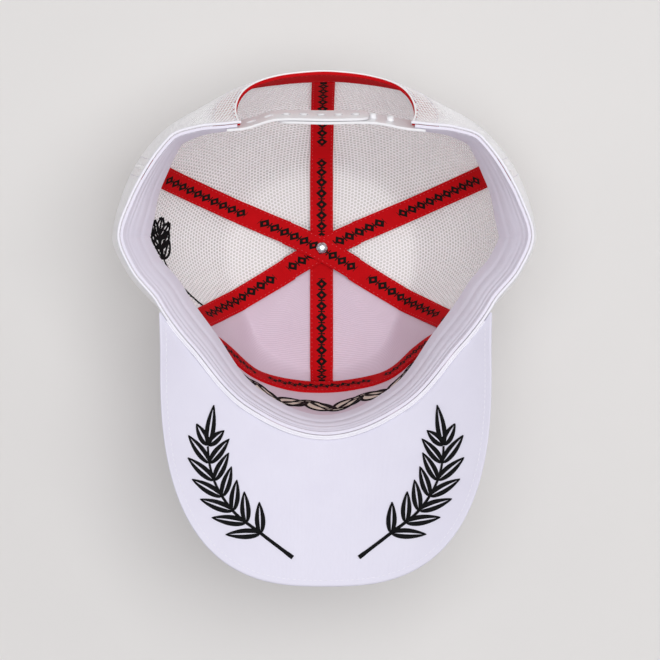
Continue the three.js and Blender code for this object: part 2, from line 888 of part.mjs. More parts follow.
addPiece('front_panel', frontPanel(), fabric(colours.cloth));
addPair('top_panel', topPanel(), colours.cloth);
addPair('side_mesh', sideMesh(), colours.net);
addPair('back_mesh', backMesh(), colours.net);
addPiece('brim', brimPiece(), fabric(colours.cloth));
addPiece('sweatband', bandPiece(), fabric(colours.sweatband));
addPiece('tape_centre', crossingTape({
  from: 0,
  fromRing: centreTapeStart,
  to: 180,
  toRing: centreTapeEnd,
  level: 0,
}), fabric(colours.tape));
addPiece('tape_front_left', crossingTape({
  from: -frontSeam,
  fromRing: rimTapeRing(frontSeam),
  to: rearSeam,
  toRing: rimTapeRing(rearSeam),
  level: 1,
}), fabric(colours.tape));
addPiece('tape_front_right', crossingTape({
  from: frontSeam,
  fromRing: rimTapeRing(frontSeam),
  to: -rearSeam,
  toRing: rimTapeRing(rearSeam),
  level: 2,
}), fabric(colours.tape));
addPiece('tape_front_arch', frontSeamTape(), fabric(colours.tape));
addPiece('arch_binding', archBinding(), fabric(colours.tape));
addPiece('strap_with_holes', strapWithHoles(), plastic(colours.strap));
addPiece('strap_with_pegs', strapWithPegs(), plastic(colours.strap));
addPiece('rivet', rivetPiece(), metal(colours.metal));
addPiece('top_button', buttonPiece(), fabric(colours.cloth));
addPiece('laurel_left', laurelSprig(), fabric(colours.thread));
addPiece('laurel_right', mirrored(laurelSprig()), fabric(colours.thread));

// The origin is at the centre of the hat's floor plan, on the floor
const box = new THREE.Box3().setFromObject(hat);
hat.position.set(-(box.min.x + box.max.x) / 2, -(box.min.y + box.max.y) / 2, -box.min.z);

export default hat;
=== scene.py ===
import math

import bmesh
import bpy
import numpy as np
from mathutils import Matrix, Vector
from mathutils.geometry import delaunay_2d_cdt


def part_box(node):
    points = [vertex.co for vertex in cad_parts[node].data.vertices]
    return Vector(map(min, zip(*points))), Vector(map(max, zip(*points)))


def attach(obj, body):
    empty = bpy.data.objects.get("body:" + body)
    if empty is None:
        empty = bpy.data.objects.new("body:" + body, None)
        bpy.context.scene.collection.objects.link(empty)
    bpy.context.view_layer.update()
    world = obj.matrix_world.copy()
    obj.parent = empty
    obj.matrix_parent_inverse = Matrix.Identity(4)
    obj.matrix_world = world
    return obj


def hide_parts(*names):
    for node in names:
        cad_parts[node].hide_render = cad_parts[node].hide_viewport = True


# Trucker hat lying on its crown, brim forward along -Y. Sizes are in millimetres, angles in degrees.

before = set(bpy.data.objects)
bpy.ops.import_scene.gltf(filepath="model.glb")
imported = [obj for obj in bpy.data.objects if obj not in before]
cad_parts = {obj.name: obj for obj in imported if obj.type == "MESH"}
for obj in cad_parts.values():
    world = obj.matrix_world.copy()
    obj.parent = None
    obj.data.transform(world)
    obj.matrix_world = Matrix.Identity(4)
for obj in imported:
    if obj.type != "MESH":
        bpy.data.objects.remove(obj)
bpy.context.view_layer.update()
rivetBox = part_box("rivet")
hatShift = np.array([0, (rivetBox[0].y + rivetBox[1].y) * 500, 0])  # the rivet is at the hat's own origin
print("frame loaded")


# Camera

view = {
    "lens": 149.7,
    "place": (-0.0294, -0.0031, 1.515),
    "target": (0.0047, -0.0031, 0),
}

lens = bpy.data.cameras.new("camera")
lens.lens = view["lens"]
lens.sensor_width = 36
lens.clip_end = 20
camera = bpy.data.objects.new("camera", lens)
camera.location = view["place"]
across = view["target"][0] - view["place"][0]
camera.rotation_euler = (0, -math.atan2(across, view["place"][2]), 0)
bpy.context.scene.collection.objects.link(camera)
bpy.context.scene.camera = camera


# Shape of the crown, the same as in the frame

crown = {
    "width": 223, "frontReach": 104, "backReach": 92.5, "height": 125, "wall": 1.5,
    "dimpleRadius": 22, "eyeRadius": 1.8, "apexUp": 5, "bellyUp": 0.6, "flankUp": 0.304,
    "frontSeam": 50.1, "rearSeam": 116, "archCorner": 149.2, "archHeight": 55, "seamCrest": 2.85,
    "softness": 0.3,  # how far the cloth waves in and out
}
bellyRing, shoulderRing, dimpleRing, eyeRing = 1, 3, 5, 6

# bearing, rim, rim height, belly
upperShape = np.array([
    (0, 0.97, 0.808, 0.909), (23.5, 0.905, 0.832, 0.85), (50.1, 0.816, 0.876, 0.76),
    (68.7, 0.833, 0.916, 0.856), (81.4, 0.907, 0.936, 0.943), (92.4, 0.955, 0.948, 1),
    (104.4, 0.932, 0.956, 0.995), (116, 0.921, 0.968, 0.998), (129.1, 0.92, 0.984, 0.997),
    (137.4, 0.866, 0.992, 0.984), (145.1, 0.797, 0.996, 0.9735), (161.5, 0.707, 1, 0.985),
    (180, 0.67, 1, 1),
])
# bearing, flank, shoulder, shoulder height, foot
lowerShape = np.array([
    (0, 0.83, 0.735, 0.088, 0.64), (23.5, 0.79, 0.715, 0.096, 0.61), (50.1, 0.69, 0.6, 0.12, 0.49),
    (68.7, 0.77, 0.62, 0.112, 0.45), (81.4, 0.84, 0.64, 0.104, 0.43), (92.4, 0.875, 0.65, 0.096, 0.42),
    (116, 0.88, 0.655, 0.096, 0.42), (145.1, 0.88, 0.66, 0.112, 0.42), (180, 0.88, 0.66, 0.112, 0.42),
])
seamSwings = np.array([(0, 0), (50.1, 6.6), (116, 1.7), (180, 0)])


def smoothAt(stops, values, at, flatEnds=False):
    at = np.atleast_1d(np.asarray(at, float))
    shape = (len(at), np.shape(stops)[-1])
    stops = np.broadcast_to(stops, shape)
    values = np.broadcast_to(values, shape)
    secants = np.diff(values, axis=1) / np.diff(stops, axis=1)
    product = secants[:, :-1] * secants[:, 1:]
    total = np.where(product > 0, secants[:, :-1] + secants[:, 1:], 1)
    inner = np.where(product > 0, 2 * product / total, 0)
    ends = 0 if flatEnds else 1
    slopes = np.hstack([secants[:, :1] * ends, inner, secants[:, -1:] * ends])
    index = (at[:, None] > stops[:, 1:-1]).sum(axis=1)
    row = np.arange(len(at))
    step = stops[row, index + 1] - stops[row, index]
    t = (at - stops[row, index]) / step
    start, end = slopes[row, index] * step, slopes[row, index + 1] * step
    rise = values[row, index + 1] - values[row, index]
    bend, twist = 3 * rise - 2 * start - end, start + end - 2 * rise
    return values[row, index] + t * (start + t * (bend + t * twist))


def smoothStep(low, high, at):
    t = np.clip((at - low) / (high - low), 0, 1)
    return t * t * (3 - 2 * t)


fineBearings = np.linspace(0, 180, 18001)
fineShares = {
    name: smoothAt(table[:, 0], table[:, column], fineBearings, True)
    for table, column, name in (
        (upperShape, 1, "rim"), (upperShape, 2, "rimUp"), (upperShape, 3, "belly"),
        (lowerShape, 1, "flank"), (lowerShape, 2, "shoulder"), (lowerShape, 3, "shoulderUp"),
        (lowerShape, 4, "foot"),
    )
}
fineSwings = smoothAt(seamSwings[:, 0], seamSwings[:, 1], fineBearings)


def shareAt(name, bearing):
    return np.interp(np.abs(bearing), fineBearings, fineShares[name])


def crownPoint(bearing, ring):
    bearing, ring = np.broadcast_arrays(np.asarray(bearing, float), np.asarray(ring, float))
    shape = bearing.shape
    bearing, ring = bearing.ravel(), ring.ravel()
    bearing = np.where(bearing > 180, bearing - 360, bearing)
    swing = np.interp(np.abs(bearing), fineBearings, fineSwings) * smoothStep(0, 2, ring)
    bearing = bearing + np.sign(bearing) * swing
    angle = np.radians(bearing)
    reach = np.where(np.abs(bearing) > 90, crown["backReach"], crown["frontReach"])
    heading = np.stack([crown["width"] / 2 * np.sin(angle), -reach * np.cos(angle)], axis=1)
    length = np.linalg.norm(heading, axis=1)
    heading /= length[:, None]
    outs = [shareAt(name, bearing) * length for name in ("rim", "belly", "flank", "shoulder", "foot")]
    outs += [np.full_like(length, crown["dimpleRadius"]), np.full_like(length, crown["eyeRadius"])]
    outs = np.stack(outs, axis=1)
    ups = np.zeros_like(outs)
    ups[:, 0] = shareAt("rimUp", bearing) * crown["height"]
    ups[:, 1] = crown["bellyUp"] * crown["height"]
    ups[:, 2] = crown["flankUp"] * crown["height"]
    ups[:, 3] = shareAt("shoulderUp", bearing) * crown["height"]
    ups[:, 6] = crown["apexUp"]
    steps = np.hypot(np.diff(outs, axis=1), np.diff(ups, axis=1))
    stops = np.hstack([np.zeros((len(length), 1)), np.cumsum(steps, axis=1)])
    index = np.clip(np.floor(ring).astype(int), 0, eyeRing - 1)
    row = np.arange(len(length))
    at = stops[row, index] + (ring - index) * steps[row, index]
    out, up = smoothAt(stops, outs, at), smoothAt(stops, ups, at)
    return np.stack([heading[:, 0] * out, heading[:, 1] * out, up], axis=1).reshape(shape + (3,))


def crownSlopes(bearing, ring):
    probe = 0.05
    low, high = np.maximum(ring - probe, 0), np.minimum(ring + probe, eyeRing)
    perDegree = (crownPoint(bearing + probe, ring) - crownPoint(bearing - probe, ring)) / (2 * probe)
    perRing = (crownPoint(bearing, high) - crownPoint(bearing, low)) / np.asarray(high - low)[..., None]
    return perDegree, perRing


def unit(vectors):
    return vectors / np.maximum(np.linalg.norm(vectors, axis=-1, keepdims=True), 1e-9)


def outwardAt(bearing, ring):
    perDegree, perRing = crownSlopes(bearing, ring)
    return unit(np.cross(perRing, perDegree))


def softWave(points):
    x, y, z = points[..., 0], points[..., 1], points[..., 2]
    wave = np.sin(x / 9.1 + 0.7 * np.sin(z / 13)) * np.sin(y / 11.3 + z / 17 + 0.4)
    wave += 0.5 * np.sin(x / 4.7 + y / 6.1 + 1.3) * np.sin(z / 7.9 + x / 15)
    return crown["softness"] * wave * smoothStep(3, 24, z) / 1.5


def wallPoint(bearing, ring, depth):
    bearing, ring = np.broadcast_arrays(np.asarray(bearing, float), np.asarray(ring, float))
    surface = crownPoint(bearing, ring)
    inset = np.asarray(depth) + softWave(surface)
    return surface - outwardAt(bearing, ring) * np.broadcast_to(inset, bearing.shape)[..., None]


def degreesFor(distance, bearing, ring):
    return distance / np.linalg.norm(crownSlopes(bearing, ring)[0], axis=-1)


def ringsFor(distance, bearing, ring):
    return distance / np.linalg.norm(crownSlopes(bearing, ring)[1], axis=-1)


def walkOn(bearing, ring, vector):
    steps = 4
    for step in range(steps):
        perDegree, perRing = crownSlopes(bearing, ring)
        dd, rr = (perDegree ** 2).sum(-1), (perRing ** 2).sum(-1)
        dr = (perDegree * perRing).sum(-1)
        alongDegree = (perDegree * vector).sum(-1) / steps
        alongRing = (perRing * vector).sum(-1) / steps
        spread = dd * rr - dr * dr
        bearing = bearing + (alongDegree * rr - alongRing * dr) / spread
        ring = np.clip(ring + (alongRing * dd - alongDegree * dr) / spread, 0, eyeRing)
    return bearing, ring


backRings = np.linspace(0, 3, 3001)
archTopRing = np.interp(crown["archHeight"], crown["height"] - crownPoint(180, backRings)[:, 2], backRings)


def frontSeamRing(bearing):
    quarter = np.minimum(np.abs(bearing) / crown["frontSeam"], 1) * np.pi / 2
    return bellyRing + (crown["seamCrest"] - bellyRing) * np.cos(quarter)


def archRing(bearing):
    fromBack = np.abs(180 - np.abs(bearing)) / (180 - crown["archCorner"])
    return archTopRing * np.sqrt(np.clip(1 - fromBack ** 2, 0, 1))


print("crown shape ready")


# Meshes from grids of points

def lengthsAlong(line):
    return np.concatenate([[0], np.cumsum(np.linalg.norm(np.diff(line, axis=0), axis=1))])


def gridUv(points):
    across = np.linalg.norm(np.diff(points, axis=1), axis=-1)
    along = np.linalg.norm(np.diff(points, axis=0), axis=-1)
    u = np.hstack([np.zeros((len(points), 1)), np.cumsum(across, axis=1)])
    v = np.vstack([np.zeros((1, points.shape[1])), np.cumsum(along, axis=0)])
    u -= u[:, points.shape[1] // 2][:, None]
    return np.stack([u, v], axis=-1)


def wallFaces(rows, columns):
    at = np.arange(rows * columns).reshape(rows, columns)
    under = rows * columns
    quads = np.stack([at[:-1, :-1], at[1:, :-1], at[1:, 1:], at[:-1, 1:]], axis=-1).reshape(-1, 4)
    border = np.concatenate([at[:, 0], at[-1, 1:], at[::-1, -1][1:], at[0, ::-1][1:-1]])
    after = np.roll(border, -1)
    sides = np.stack([after, border, border + under, after + under], axis=-1)
    return quads, quads[:, ::-1] + under, sides


def bareMesh(name, points, faces, uvs=None, sharpAngle=40):
    mesh = bpy.data.meshes.new(name)
    mesh.from_pydata(((points + hatShift) / 1000).tolist(), [], [list(face) for face in faces])
    if uvs is not None:
        corners = np.zeros(len(mesh.loops), dtype=np.int32)
        mesh.loops.foreach_get("vertex_index", corners)
        layer = mesh.uv_layers.new(name="UVMap")
        layer.data.foreach_set("uv", (uvs / 1000)[corners].ravel())
    mesh.shade_smooth()
    mesh.set_sharp_from_angle(angle=math.radians(sharpAngle))
    return mesh


def addObject(name, data):
    piece = bpy.data.objects.new(name, data)
    bpy.context.scene.collection.objects.link(piece)
    return piece


def addPiece(name, mesh, materials, stands=()):
    piece = addObject(name, mesh)
    for material in materials:
        mesh.materials.append(material)
    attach(piece, "root")
    if stands:
        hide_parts(*stands)
    return piece


def wallPiece(name, outer, inner, materials, slot, stands=(), uvs=None, sharpAngle=40):
    rows, columns = outer.shape[:2]
    top, bottom, sides = wallFaces(rows, columns)
    points = np.concatenate([outer.reshape(-1, 3), inner.reshape(-1, 3)])
    flat = gridUv(outer) if uvs is None else uvs
    flat = np.concatenate([flat.reshape(-1, 2)] * 2)
    mesh = bareMesh(name, points, [*top, *bottom, *sides], flat, sharpAngle)
    if len(materials) > 1:
        indices = np.zeros(len(mesh.polygons), dtype=np.int32)
        indices[len(top):len(top) + len(bottom)] = 1
        mesh.polygons.foreach_set("material_index", indices)
    return addPiece(name, mesh, materials, stands)


def sweepMesh(name, paths, sharpAngle=60):
    points, faces, uvs = [], [], []
    start = 0
    for path in paths:
        centres, sides, normals = path["centres"], path["sides"], path["normals"]
        section = path["section"]
        wide = np.broadcast_to(path["width"], len(centres))[:, None, None] / 2
        high = np.broadcast_to(path["height"], len(centres))[:, None, None]
        ring = (
            centres[:, None]
            + sides[:, None] * section[None, :, :1] * wide
            + normals[:, None] * section[None, :, 1:] * high
        )
        count, size = ring.shape[:2]
        index = np.arange(count * size).reshape(count, size) + start
        turned = np.roll(index, -1, axis=1)
        quads = np.stack([index[:-1], turned[:-1], turned[1:], index[1:]], axis=-1).reshape(-1, 4)
        if path.get("closed"):
            closing = np.stack([index[-1], turned[-1], turned[0], index[0]], axis=-1)
            quads = np.concatenate([quads, closing])
        faces += [*quads]
        if not path.get("closed"):
            faces += [index[0][::-1], index[-1]]
        points.append(ring.reshape(-1, 3))
        along = lengthsAlong(centres)
        flat = np.zeros((count, size, 2))
        flat[..., 0] = along[:, None]
        flat[..., 1] = section[None, :, 0] * wide[..., 0]
        uvs.append(flat.reshape(-1, 2))
        start += count * size
    mesh = bareMesh(name, np.concatenate(points), faces, np.concatenate(uvs), sharpAngle)
    shell = bmesh.new()
    shell.from_mesh(mesh)
    bmesh.ops.recalc_face_normals(shell, faces=shell.faces)
    shell.to_mesh(mesh)
    shell.free()
    return mesh


def circleSection(count):
    angles = np.linspace(0, 2 * np.pi, count, endpoint=False)
    return np.stack([np.cos(angles), np.sin(angles)], axis=1)


threadSection = np.array([(-1, 0), (-0.62, 0.78), (0, 1), (0.62, 0.78), (1, 0), (0, -0.3)])


def tangents(points):
    return unit(np.gradient(points, axis=0))


# Materials

def linear(hexColour):
    channels = [int(hexColour[i:i + 2], 16) / 255 for i in (1, 3, 5)]
    return (*[c / 12.92 if c <= 0.04045 else ((c + 0.055) / 1.055) ** 2.4 for c in channels], 1)


def addNode(tree, kind, links=None, **settings):
    node = tree.nodes.new(kind)
    for name, value in settings.items():
        setattr(node, name, value)
    for socket, source in (links or {}).items():
        if isinstance(source, bpy.types.NodeSocket):
            tree.links.new(source, node.inputs[socket])
        else:
            node.inputs[socket].default_value = source
    return node


def startMaterial(name, colour, roughness, metallic=0.0, **shaderValues):
    material = bpy.data.materials.new(name)
    material.use_nodes = True
    tree = material.node_tree
    shader = tree.nodes["Principled BSDF"]
    shader.inputs["Base Color"].default_value = linear(colour)
    shader.inputs["Roughness"].default_value = roughness
    shader.inputs["Metallic"].default_value = metallic
    for socket, value in shaderValues.items():
        shader.inputs[socket.replace("_", " ")].default_value = value
    return material, tree, shader


def waveScale(spacing):
    return 2 * math.pi / 20 / (spacing / 1000)  # a wave texture's bands are pi / 10 apart at scale 1


def uvVector(tree, turn=0.0):
    place = addNode(tree, "ShaderNodeUVMap", uv_map="UVMap")
    turned = addNode(tree, "ShaderNodeMapping", {"Vector": place.outputs[0], "Rotation": (0, 0, turn)})
    return turned.outputs[0]


def addRelief(tree, shader, height, depth, strength):
    # goes on top of any relief that the surface already has
    bump = addNode(tree, "ShaderNodeBump", {
        "Height": height, "Strength": strength, "Distance": depth / 1000})
    if shader.inputs["Normal"].is_linked:
        tree.links.new(shader.inputs["Normal"].links[0].from_socket, bump.inputs["Normal"])
    tree.links.new(bump.outputs[0], shader.inputs["Normal"])


def addBands(tree, shader, spacing, turn, depth, strength):
    wave = addNode(tree, "ShaderNodeTexWave", {
        "Vector": uvVector(tree, turn), "Scale": waveScale(spacing), "Distortion": 0.6, "Detail": 1.0,
    })
    addRelief(tree, shader, wave.outputs["Fac"], depth, strength)
    return wave


def addMottle(tree, shader, low, high, size):
    place = addNode(tree, "ShaderNodeTexCoord").outputs["Object"]
    noise = addNode(tree, "ShaderNodeTexNoise", {"Vector": place, "Scale": 1000 / size, "Detail": 4.0})
    colours = {"Factor": noise.outputs["Fac"], 6: linear(low), 7: linear(high)}
    mix = addNode(tree, "ShaderNodeMix", colours, data_type="RGBA")
    tree.links.new(mix.outputs[2], shader.inputs["Base Color"])


def addFuzz(tree, shader, size, depth, strength):
    place = addNode(tree, "ShaderNodeTexCoord").outputs["Object"]
    noise = addNode(tree, "ShaderNodeTexNoise", {"Vector": place, "Scale": 1000 / size, "Detail": 3.0})
    addRelief(tree, shader, noise.outputs["Fac"], depth, strength)


quarterTurn = math.radians(90)
weave = {
    # the colour for the dips between the ribs is painted shade
    "mottle": 22, "ribDepth": 0.12, "paintedDipShade": "#8c7f8a",
    "fuzz": 1.1, "fuzzDepth": 0.08, "fuzzStrength": 0.35, "sheenRoughness": 0.5,
}


def addRibShade(tree, shader, wave, share):
    # painted shade: the dips between the ribs are drawn a little darker
    dip = addNode(tree, "ShaderNodeMath", {0: wave.outputs["Fac"], 1: share}, operation="MULTIPLY")
    base = shader.inputs["Base Color"].links[0].from_socket
    colours = {"Factor": dip.outputs[0], 6: base, 7: linear(weave["paintedDipShade"])}
    mix = addNode(tree, "ShaderNodeMix", colours, data_type="RGBA", blend_type="MULTIPLY")
    tree.links.new(mix.outputs[2], shader.inputs["Base Color"])


def clothMaterial(name, low, high, spacing, turn, roughness, ribs, sheen, ribShade=0.0):
    material, tree, shader = startMaterial(
        name, low, roughness, Sheen_Weight=sheen, Sheen_Roughness=weave["sheenRoughness"])
    addMottle(tree, shader, low, high, weave["mottle"])
    wave = addBands(tree, shader, spacing, turn, weave["ribDepth"], ribs)
    # ribShade darkens the dips between the ribs with painted shade
    if ribShade:
        addRibShade(tree, shader, wave, ribShade)
    addFuzz(tree, shader, weave["fuzz"], weave["fuzzDepth"], weave["fuzzStrength"])
    return material


# Cotton twill: woven diagonally, so the light catches fine slanting ribs, drawn a little coarser
# than life
cottonTwill = clothMaterial(
    "cottonTwill", "#e7e5ee", "#f0eef5", spacing=0.75, turn=math.radians(63), roughness=0.82,
    ribs=0.3, sheen=0.2)
# Brushed nylon lining that backs the front panels: soft and faintly pink, with fine ribs across,
# drawn coarser than life; painted shade darkens the dips between the ribs
brushedLining = clothMaterial(
    "brushedLining", "#dccad9", "#e4d4e2", spacing=1.3, turn=quarterTurn, roughness=0.9,
    ribs=0.8, sheen=0.1, ribShade=0.16)
# Plain-woven cotton under the brim: fine upright threads
plainCotton = clothMaterial(
    "plainCotton", "#d9d6e5", "#e0deeb", spacing=0.7, turn=0, roughness=0.85, ribs=0.3, sheen=0.1)
# Soft brushed cotton of the sweatband, ribbed very finely along its length
bandCotton = clothMaterial(
    "bandCotton", "#dcd8e6", "#e6e2ee", spacing=0.8, turn=quarterTurn, roughness=0.88,
    ribs=0.25, sheen=0.1)


def netMaterial():
    # Knitted polyester net: stiff, slightly glossy white yarn that lets some light through
    material, tree, shader = startMaterial("knittedPolyester", "#fdfbfd", 0.5, Sheen_Weight=0.2)
    addMottle(tree, shader, "#fbf8fb", "#ffffff", 14)
    addFuzz(tree, shader, 0.5, 0.06, 0.5)
    return material


# Print on the ribbon: bold pierced lozenges with a short bar between them, in groups
motif = {
    "pitch": 6.1, "marks": 10, "space": 1.4, "tall": 3.1, "wide": 2.9, "pierced": 0.3,
    "bar": 0.35, "barTall": 1.9, "ink": "#14110f",
}


def ribbonMaterial(name, printed):
    # Woven ribbon: cross ribs of thick red thread, matt, with a motif printed in black ink
    material, tree, shader = startMaterial(name, "#bd0710", 0.85, Specular_IOR_Level=0.12)
    addMottle(tree, shader, "#b4050d", "#c80913", 9)
    addBands(tree, shader, 0.8, quarterTurn, 0.1, 0.45)
    if not printed:
        return material
    place = addNode(tree, "ShaderNodeUVMap", uv_map="UVMap")
    parts = addNode(tree, "ShaderNodeSeparateXYZ", {"Vector": place.outputs[0]})
    sockets = {"across": parts.outputs["X"], "along": parts.outputs["Y"]}
    cells = motif["marks"] + motif["space"]
    # what a step makes, its operation and the two values it takes
    steps = (
        ("groups", "MULTIPLY", "along", 1000 / motif["pitch"] / cells),
        ("group", "FRACT", "groups", 0.0),
        ("cell", "MULTIPLY", "group", cells),
        ("inCell", "FRACT", "cell", 0.0),
        ("offset", "SUBTRACT", "inCell", 0.5),
        ("fromMiddle", "ABSOLUTE", "offset", 0.0),
        ("aside", "ABSOLUTE", "across", 0.0),
        ("sideways", "MULTIPLY", "fromMiddle", motif["pitch"] / motif["wide"]),
        ("upwards", "MULTIPLY", "aside", 1000 / motif["tall"]),
        ("lozenge", "ADD", "sideways", "upwards"),
        ("inLozenge", "LESS_THAN", "lozenge", 1.0),
        ("roundHole", "GREATER_THAN", "lozenge", motif["pierced"]),
        ("filled", "MULTIPLY", "inLozenge", "roundHole"),
        ("besideBar", "GREATER_THAN", "fromMiddle", 0.5 - motif["bar"] / motif["pitch"]),
        ("inBar", "LESS_THAN", "aside", motif["barTall"] / 1000),
        ("bar", "MULTIPLY", "besideBar", "inBar"),
        ("mark", "MAXIMUM", "filled", "bar"),
        ("shown", "LESS_THAN", "cell", float(motif["marks"])),
        ("ink", "MULTIPLY", "mark", "shown"),
    )
    for label, operation, first, second in steps:
        values = {0: sockets.get(first, first), 1: sockets.get(second, second)}
        sockets[label] = addNode(tree, "ShaderNodeMath", values, operation=operation).outputs[0]
    red = shader.inputs["Base Color"].links[0].from_socket
    colours = {"Factor": sockets["ink"], 6: red, 7: linear(motif["ink"])}
    mix = addNode(tree, "ShaderNodeMix", colours, data_type="RGBA")
    tree.links.new(mix.outputs[2], shader.inputs["Base Color"])
    return material


def threadMaterial(name, low, high, roughness=0.5, gloss=0.5):
    # Rayon thread laid side by side: each strand makes a fine bright ridge across the stroke
    material, tree, shader = startMaterial(name, low, roughness, Specular_IOR_Level=gloss)
    addMottle(tree, shader, low, high, 2.5)
    addBands(tree, shader, 0.55, 0, 0.15, 0.7)
    return material


def strapMaterial():
    # Low-density polyethylene, injection moulded: milky and half clear with a soft gloss
    material, tree, shader = startMaterial(
        "milkyPolyethylene", "#faf9fc", 0.28, IOR=1.51, Transmission_Weight=0.15, Coat_Weight=0.2)
    addFuzz(tree, shader, 3.0, 0.04, 0.2)
    return material


def nickelMaterial():
    # Nickel-plated brass, stamped and polished: bright, with faint tumbling marks
    material, tree, shader = startMaterial("nickelPlate", "#d2d4d8", 0.22, 1.0)
    addFuzz(tree, shader, 0.8, 0.03, 0.3)
    return material


knittedPolyester = netMaterial()
printedRibbon = ribbonMaterial("printedRibbon", True)
plainRibbon = ribbonMaterial("plainRibbon", False)
blackRayon = threadMaterial("blackRayon", "#040405", "#0b0b0e", 0.7, 0.15)
beigeRayon = threadMaterial("beigeRayon", "#d8cebd", "#e8dfd0")
whiteSewing = threadMaterial("whiteSewingThread", "#e2e0ea", "#efedf4", 0.6, 0.3)
redSewing = threadMaterial("redSewingThread", "#c23a40", "#d35a5f", 0.7, 0.3)
milkyPolyethylene = strapMaterial()
nickelPlate = nickelMaterial()
print("materials ready")


# Cloth panels of the front

cloth = {
    "columnStep": 1.4,  # degrees
    "frontRows": 44,
    "topRows": 70,
    "edgeDip": 0.55,    # the cloth turns in at its seams
    "dipWidth": 1.7,
    "gap": 0.06,        # each side of a seam
}


def withBorders(values, closest=(0.03, 0.09, 0.18, 0.32, 0.5, 0.75)):
    # extra stations beside both ends, where the cloth turns in
    step = values[1] - values[0]
    near = values[0] + step * np.array(closest)
    far = values[-1] - step * np.array(closest)
    return np.unique(np.concatenate([values, near, far]))


def panelPiece(name, fromBearing, toBearing, ringOf, rowCount, stands):
    count = max(int((toBearing - fromBearing) / cloth["columnStep"]), 8)
    shares = withBorders(np.linspace(0, 1, count + 1))
    rowShares = withBorders(np.linspace(0, 1, rowCount + 1))
    plain = fromBearing + shares * (toBearing - fromBearing)
    bearing = np.broadcast_to(plain, (len(rowShares), len(plain)))
    ring = ringOf(bearing, np.broadcast_to(rowShares[:, None], bearing.shape))
    left = degreesFor(cloth["gap"], fromBearing, ring[:, 0])[:, None]
    right = degreesFor(cloth["gap"], toBearing, ring[:, -1])[:, None]
    bearing = fromBearing + left + shares * (toBearing - fromBearing - left - right)
    flat = gridUv(crownPoint(bearing, ring))
    fromSide = np.minimum(flat[..., 0] - flat[:, :1, 0], flat[:, -1:, 0] - flat[..., 0])
    fromEnd = np.minimum(flat[..., 1], flat[-1:, :, 1] - flat[..., 1])
    nearEdge = 1 - np.clip(np.minimum(fromSide, fromEnd) / cloth["dipWidth"], 0, 1)
    dip = cloth["edgeDip"] * nearEdge ** 2
    outer = wallPoint(bearing, ring, dip)
    inner = wallPoint(bearing, ring, crown["wall"] - 0.4 * dip)
    wallPiece(name, outer, inner, [cottonTwill, brushedLining], "cloth", stands, flat, 50)


def lowerPanelRing(bearing, share):
    seam = frontSeamRing(bearing)
    return share * (seam - ringsFor(cloth["gap"], bearing, seam))


def topPanelRing(bearing, share):
    seam = frontSeamRing(bearing)
    start = seam + ringsFor(cloth["gap"], bearing, seam)
    return start + share * (eyeRing - start)


frontSeam, rearSeam = crown["frontSeam"], crown["rearSeam"]
panelPiece("frontPanelCloth", -frontSeam, frontSeam, lowerPanelRing, cloth["frontRows"], ["front_panel"])
panelPiece("topPanelRightCloth", 0, frontSeam, topPanelRing, cloth["topRows"], ["top_panel_right"])
panelPiece("topPanelLeftCloth", -frontSeam, 0, topPanelRing, cloth["topRows"], ["top_panel_left"])
print("cloth panels done")


# Net panels: a web of round-cornered cells over an even lattice

net = {
    "pitch": 1.95, "rowShare": 0.866, "holeShare": 0.69, "thickness": 0.34, "depth": 0.5,
    "seamWidth": 2.2, "seamHeight": 0.5, "seamDepth": 0.3, "weld": 0.01,
    "snap": 0.45, "archSnap": 0.55,  # cells nearer to an edge than this share of a step move onto it
}


def meridianRings(bearing, spacing):
    rings = np.linspace(0, eyeRing, 1200)
    points = crownPoint(np.full_like(rings, bearing), rings)
    lengths = lengthsAlong(points)
    return np.interp(np.arange(0, lengths[-1], spacing), lengths, rings)


def netLattice(fromBearing, toBearing, arched):
    pitch = net["pitch"]
    middle = (fromBearing + toBearing) / 2
    rings = meridianRings(middle, pitch * net["rowShare"])
    rings[0] = 0
    points, places, index = [], [], {}
    for row, ring in enumerate(rings):
        dense = np.linspace(fromBearing, toBearing, 160)
        line = crownPoint(dense, np.full_like(dense, ring))
        lengths = lengthsAlong(line)
        centre = np.interp(middle, dense, lengths)
        total = lengths[-1]
        shift = 0.5 * (row % 2)
        first = math.ceil(-centre / pitch - shift)
        last = math.floor((total - centre) / pitch - shift)
        for column in range(first, last + 1):
            at = centre + (column + shift) * pitch
            if at < net["snap"] * pitch:
                at = 0
            if at > total - net["snap"] * pitch:
                at = total
            index[(row, column)] = len(places)
            places.append((np.interp(at, lengths, dense), ring))
    places = np.array(places)
    kept = np.ones(len(places), bool)
    if arched:
        edge = archRing(places[:, 0])
        rowStep = np.interp(places[:, 1], rings[:-1], np.diff(rings))
        near = (np.abs(places[:, 1] - edge) < net["archSnap"] * rowStep) & (edge > 0)
        places[near, 1] = edge[near]
        kept = places[:, 1] >= edge - 1e-9
    faces = []
    for (row, column), here in index.items():
        right = index.get((row, column + 1))
        lower = 0 if row % 2 == 0 else 1
        above = [index.get((row + 1, column - 1 + lower)), index.get((row + 1, column + lower))]
        if right is not None and above[1] is not None:
            faces.append((here, above[1], right))
        if above[0] is not None and above[1] is not None:
            faces.append((here, above[0], above[1]))
    faces = [face for face in faces if kept[list(face)].all()]
    used = np.unique(np.array(faces))
    renumber = -np.ones(len(places), int)
    renumber[used] = np.arange(len(used))
    return places[used], renumber[np.array(faces)]


def startTree(name, sizes):
    # takes a mesh, some sizes and a material, and gives a mesh
    tree = bpy.data.node_groups.new(name, "GeometryNodeTree")
    tree.interface.new_socket("Geometry", in_out="INPUT", socket_type="NodeSocketGeometry")
    for size in sizes:
        tree.interface.new_socket(size, in_out="INPUT", socket_type="NodeSocketFloat")
    tree.interface.new_socket("Material", in_out="INPUT", socket_type="NodeSocketMaterial")
    tree.interface.new_socket("Geometry", in_out="OUTPUT", socket_type="NodeSocketGeometry")
    return tree, addNode(tree, "NodeGroupInput")


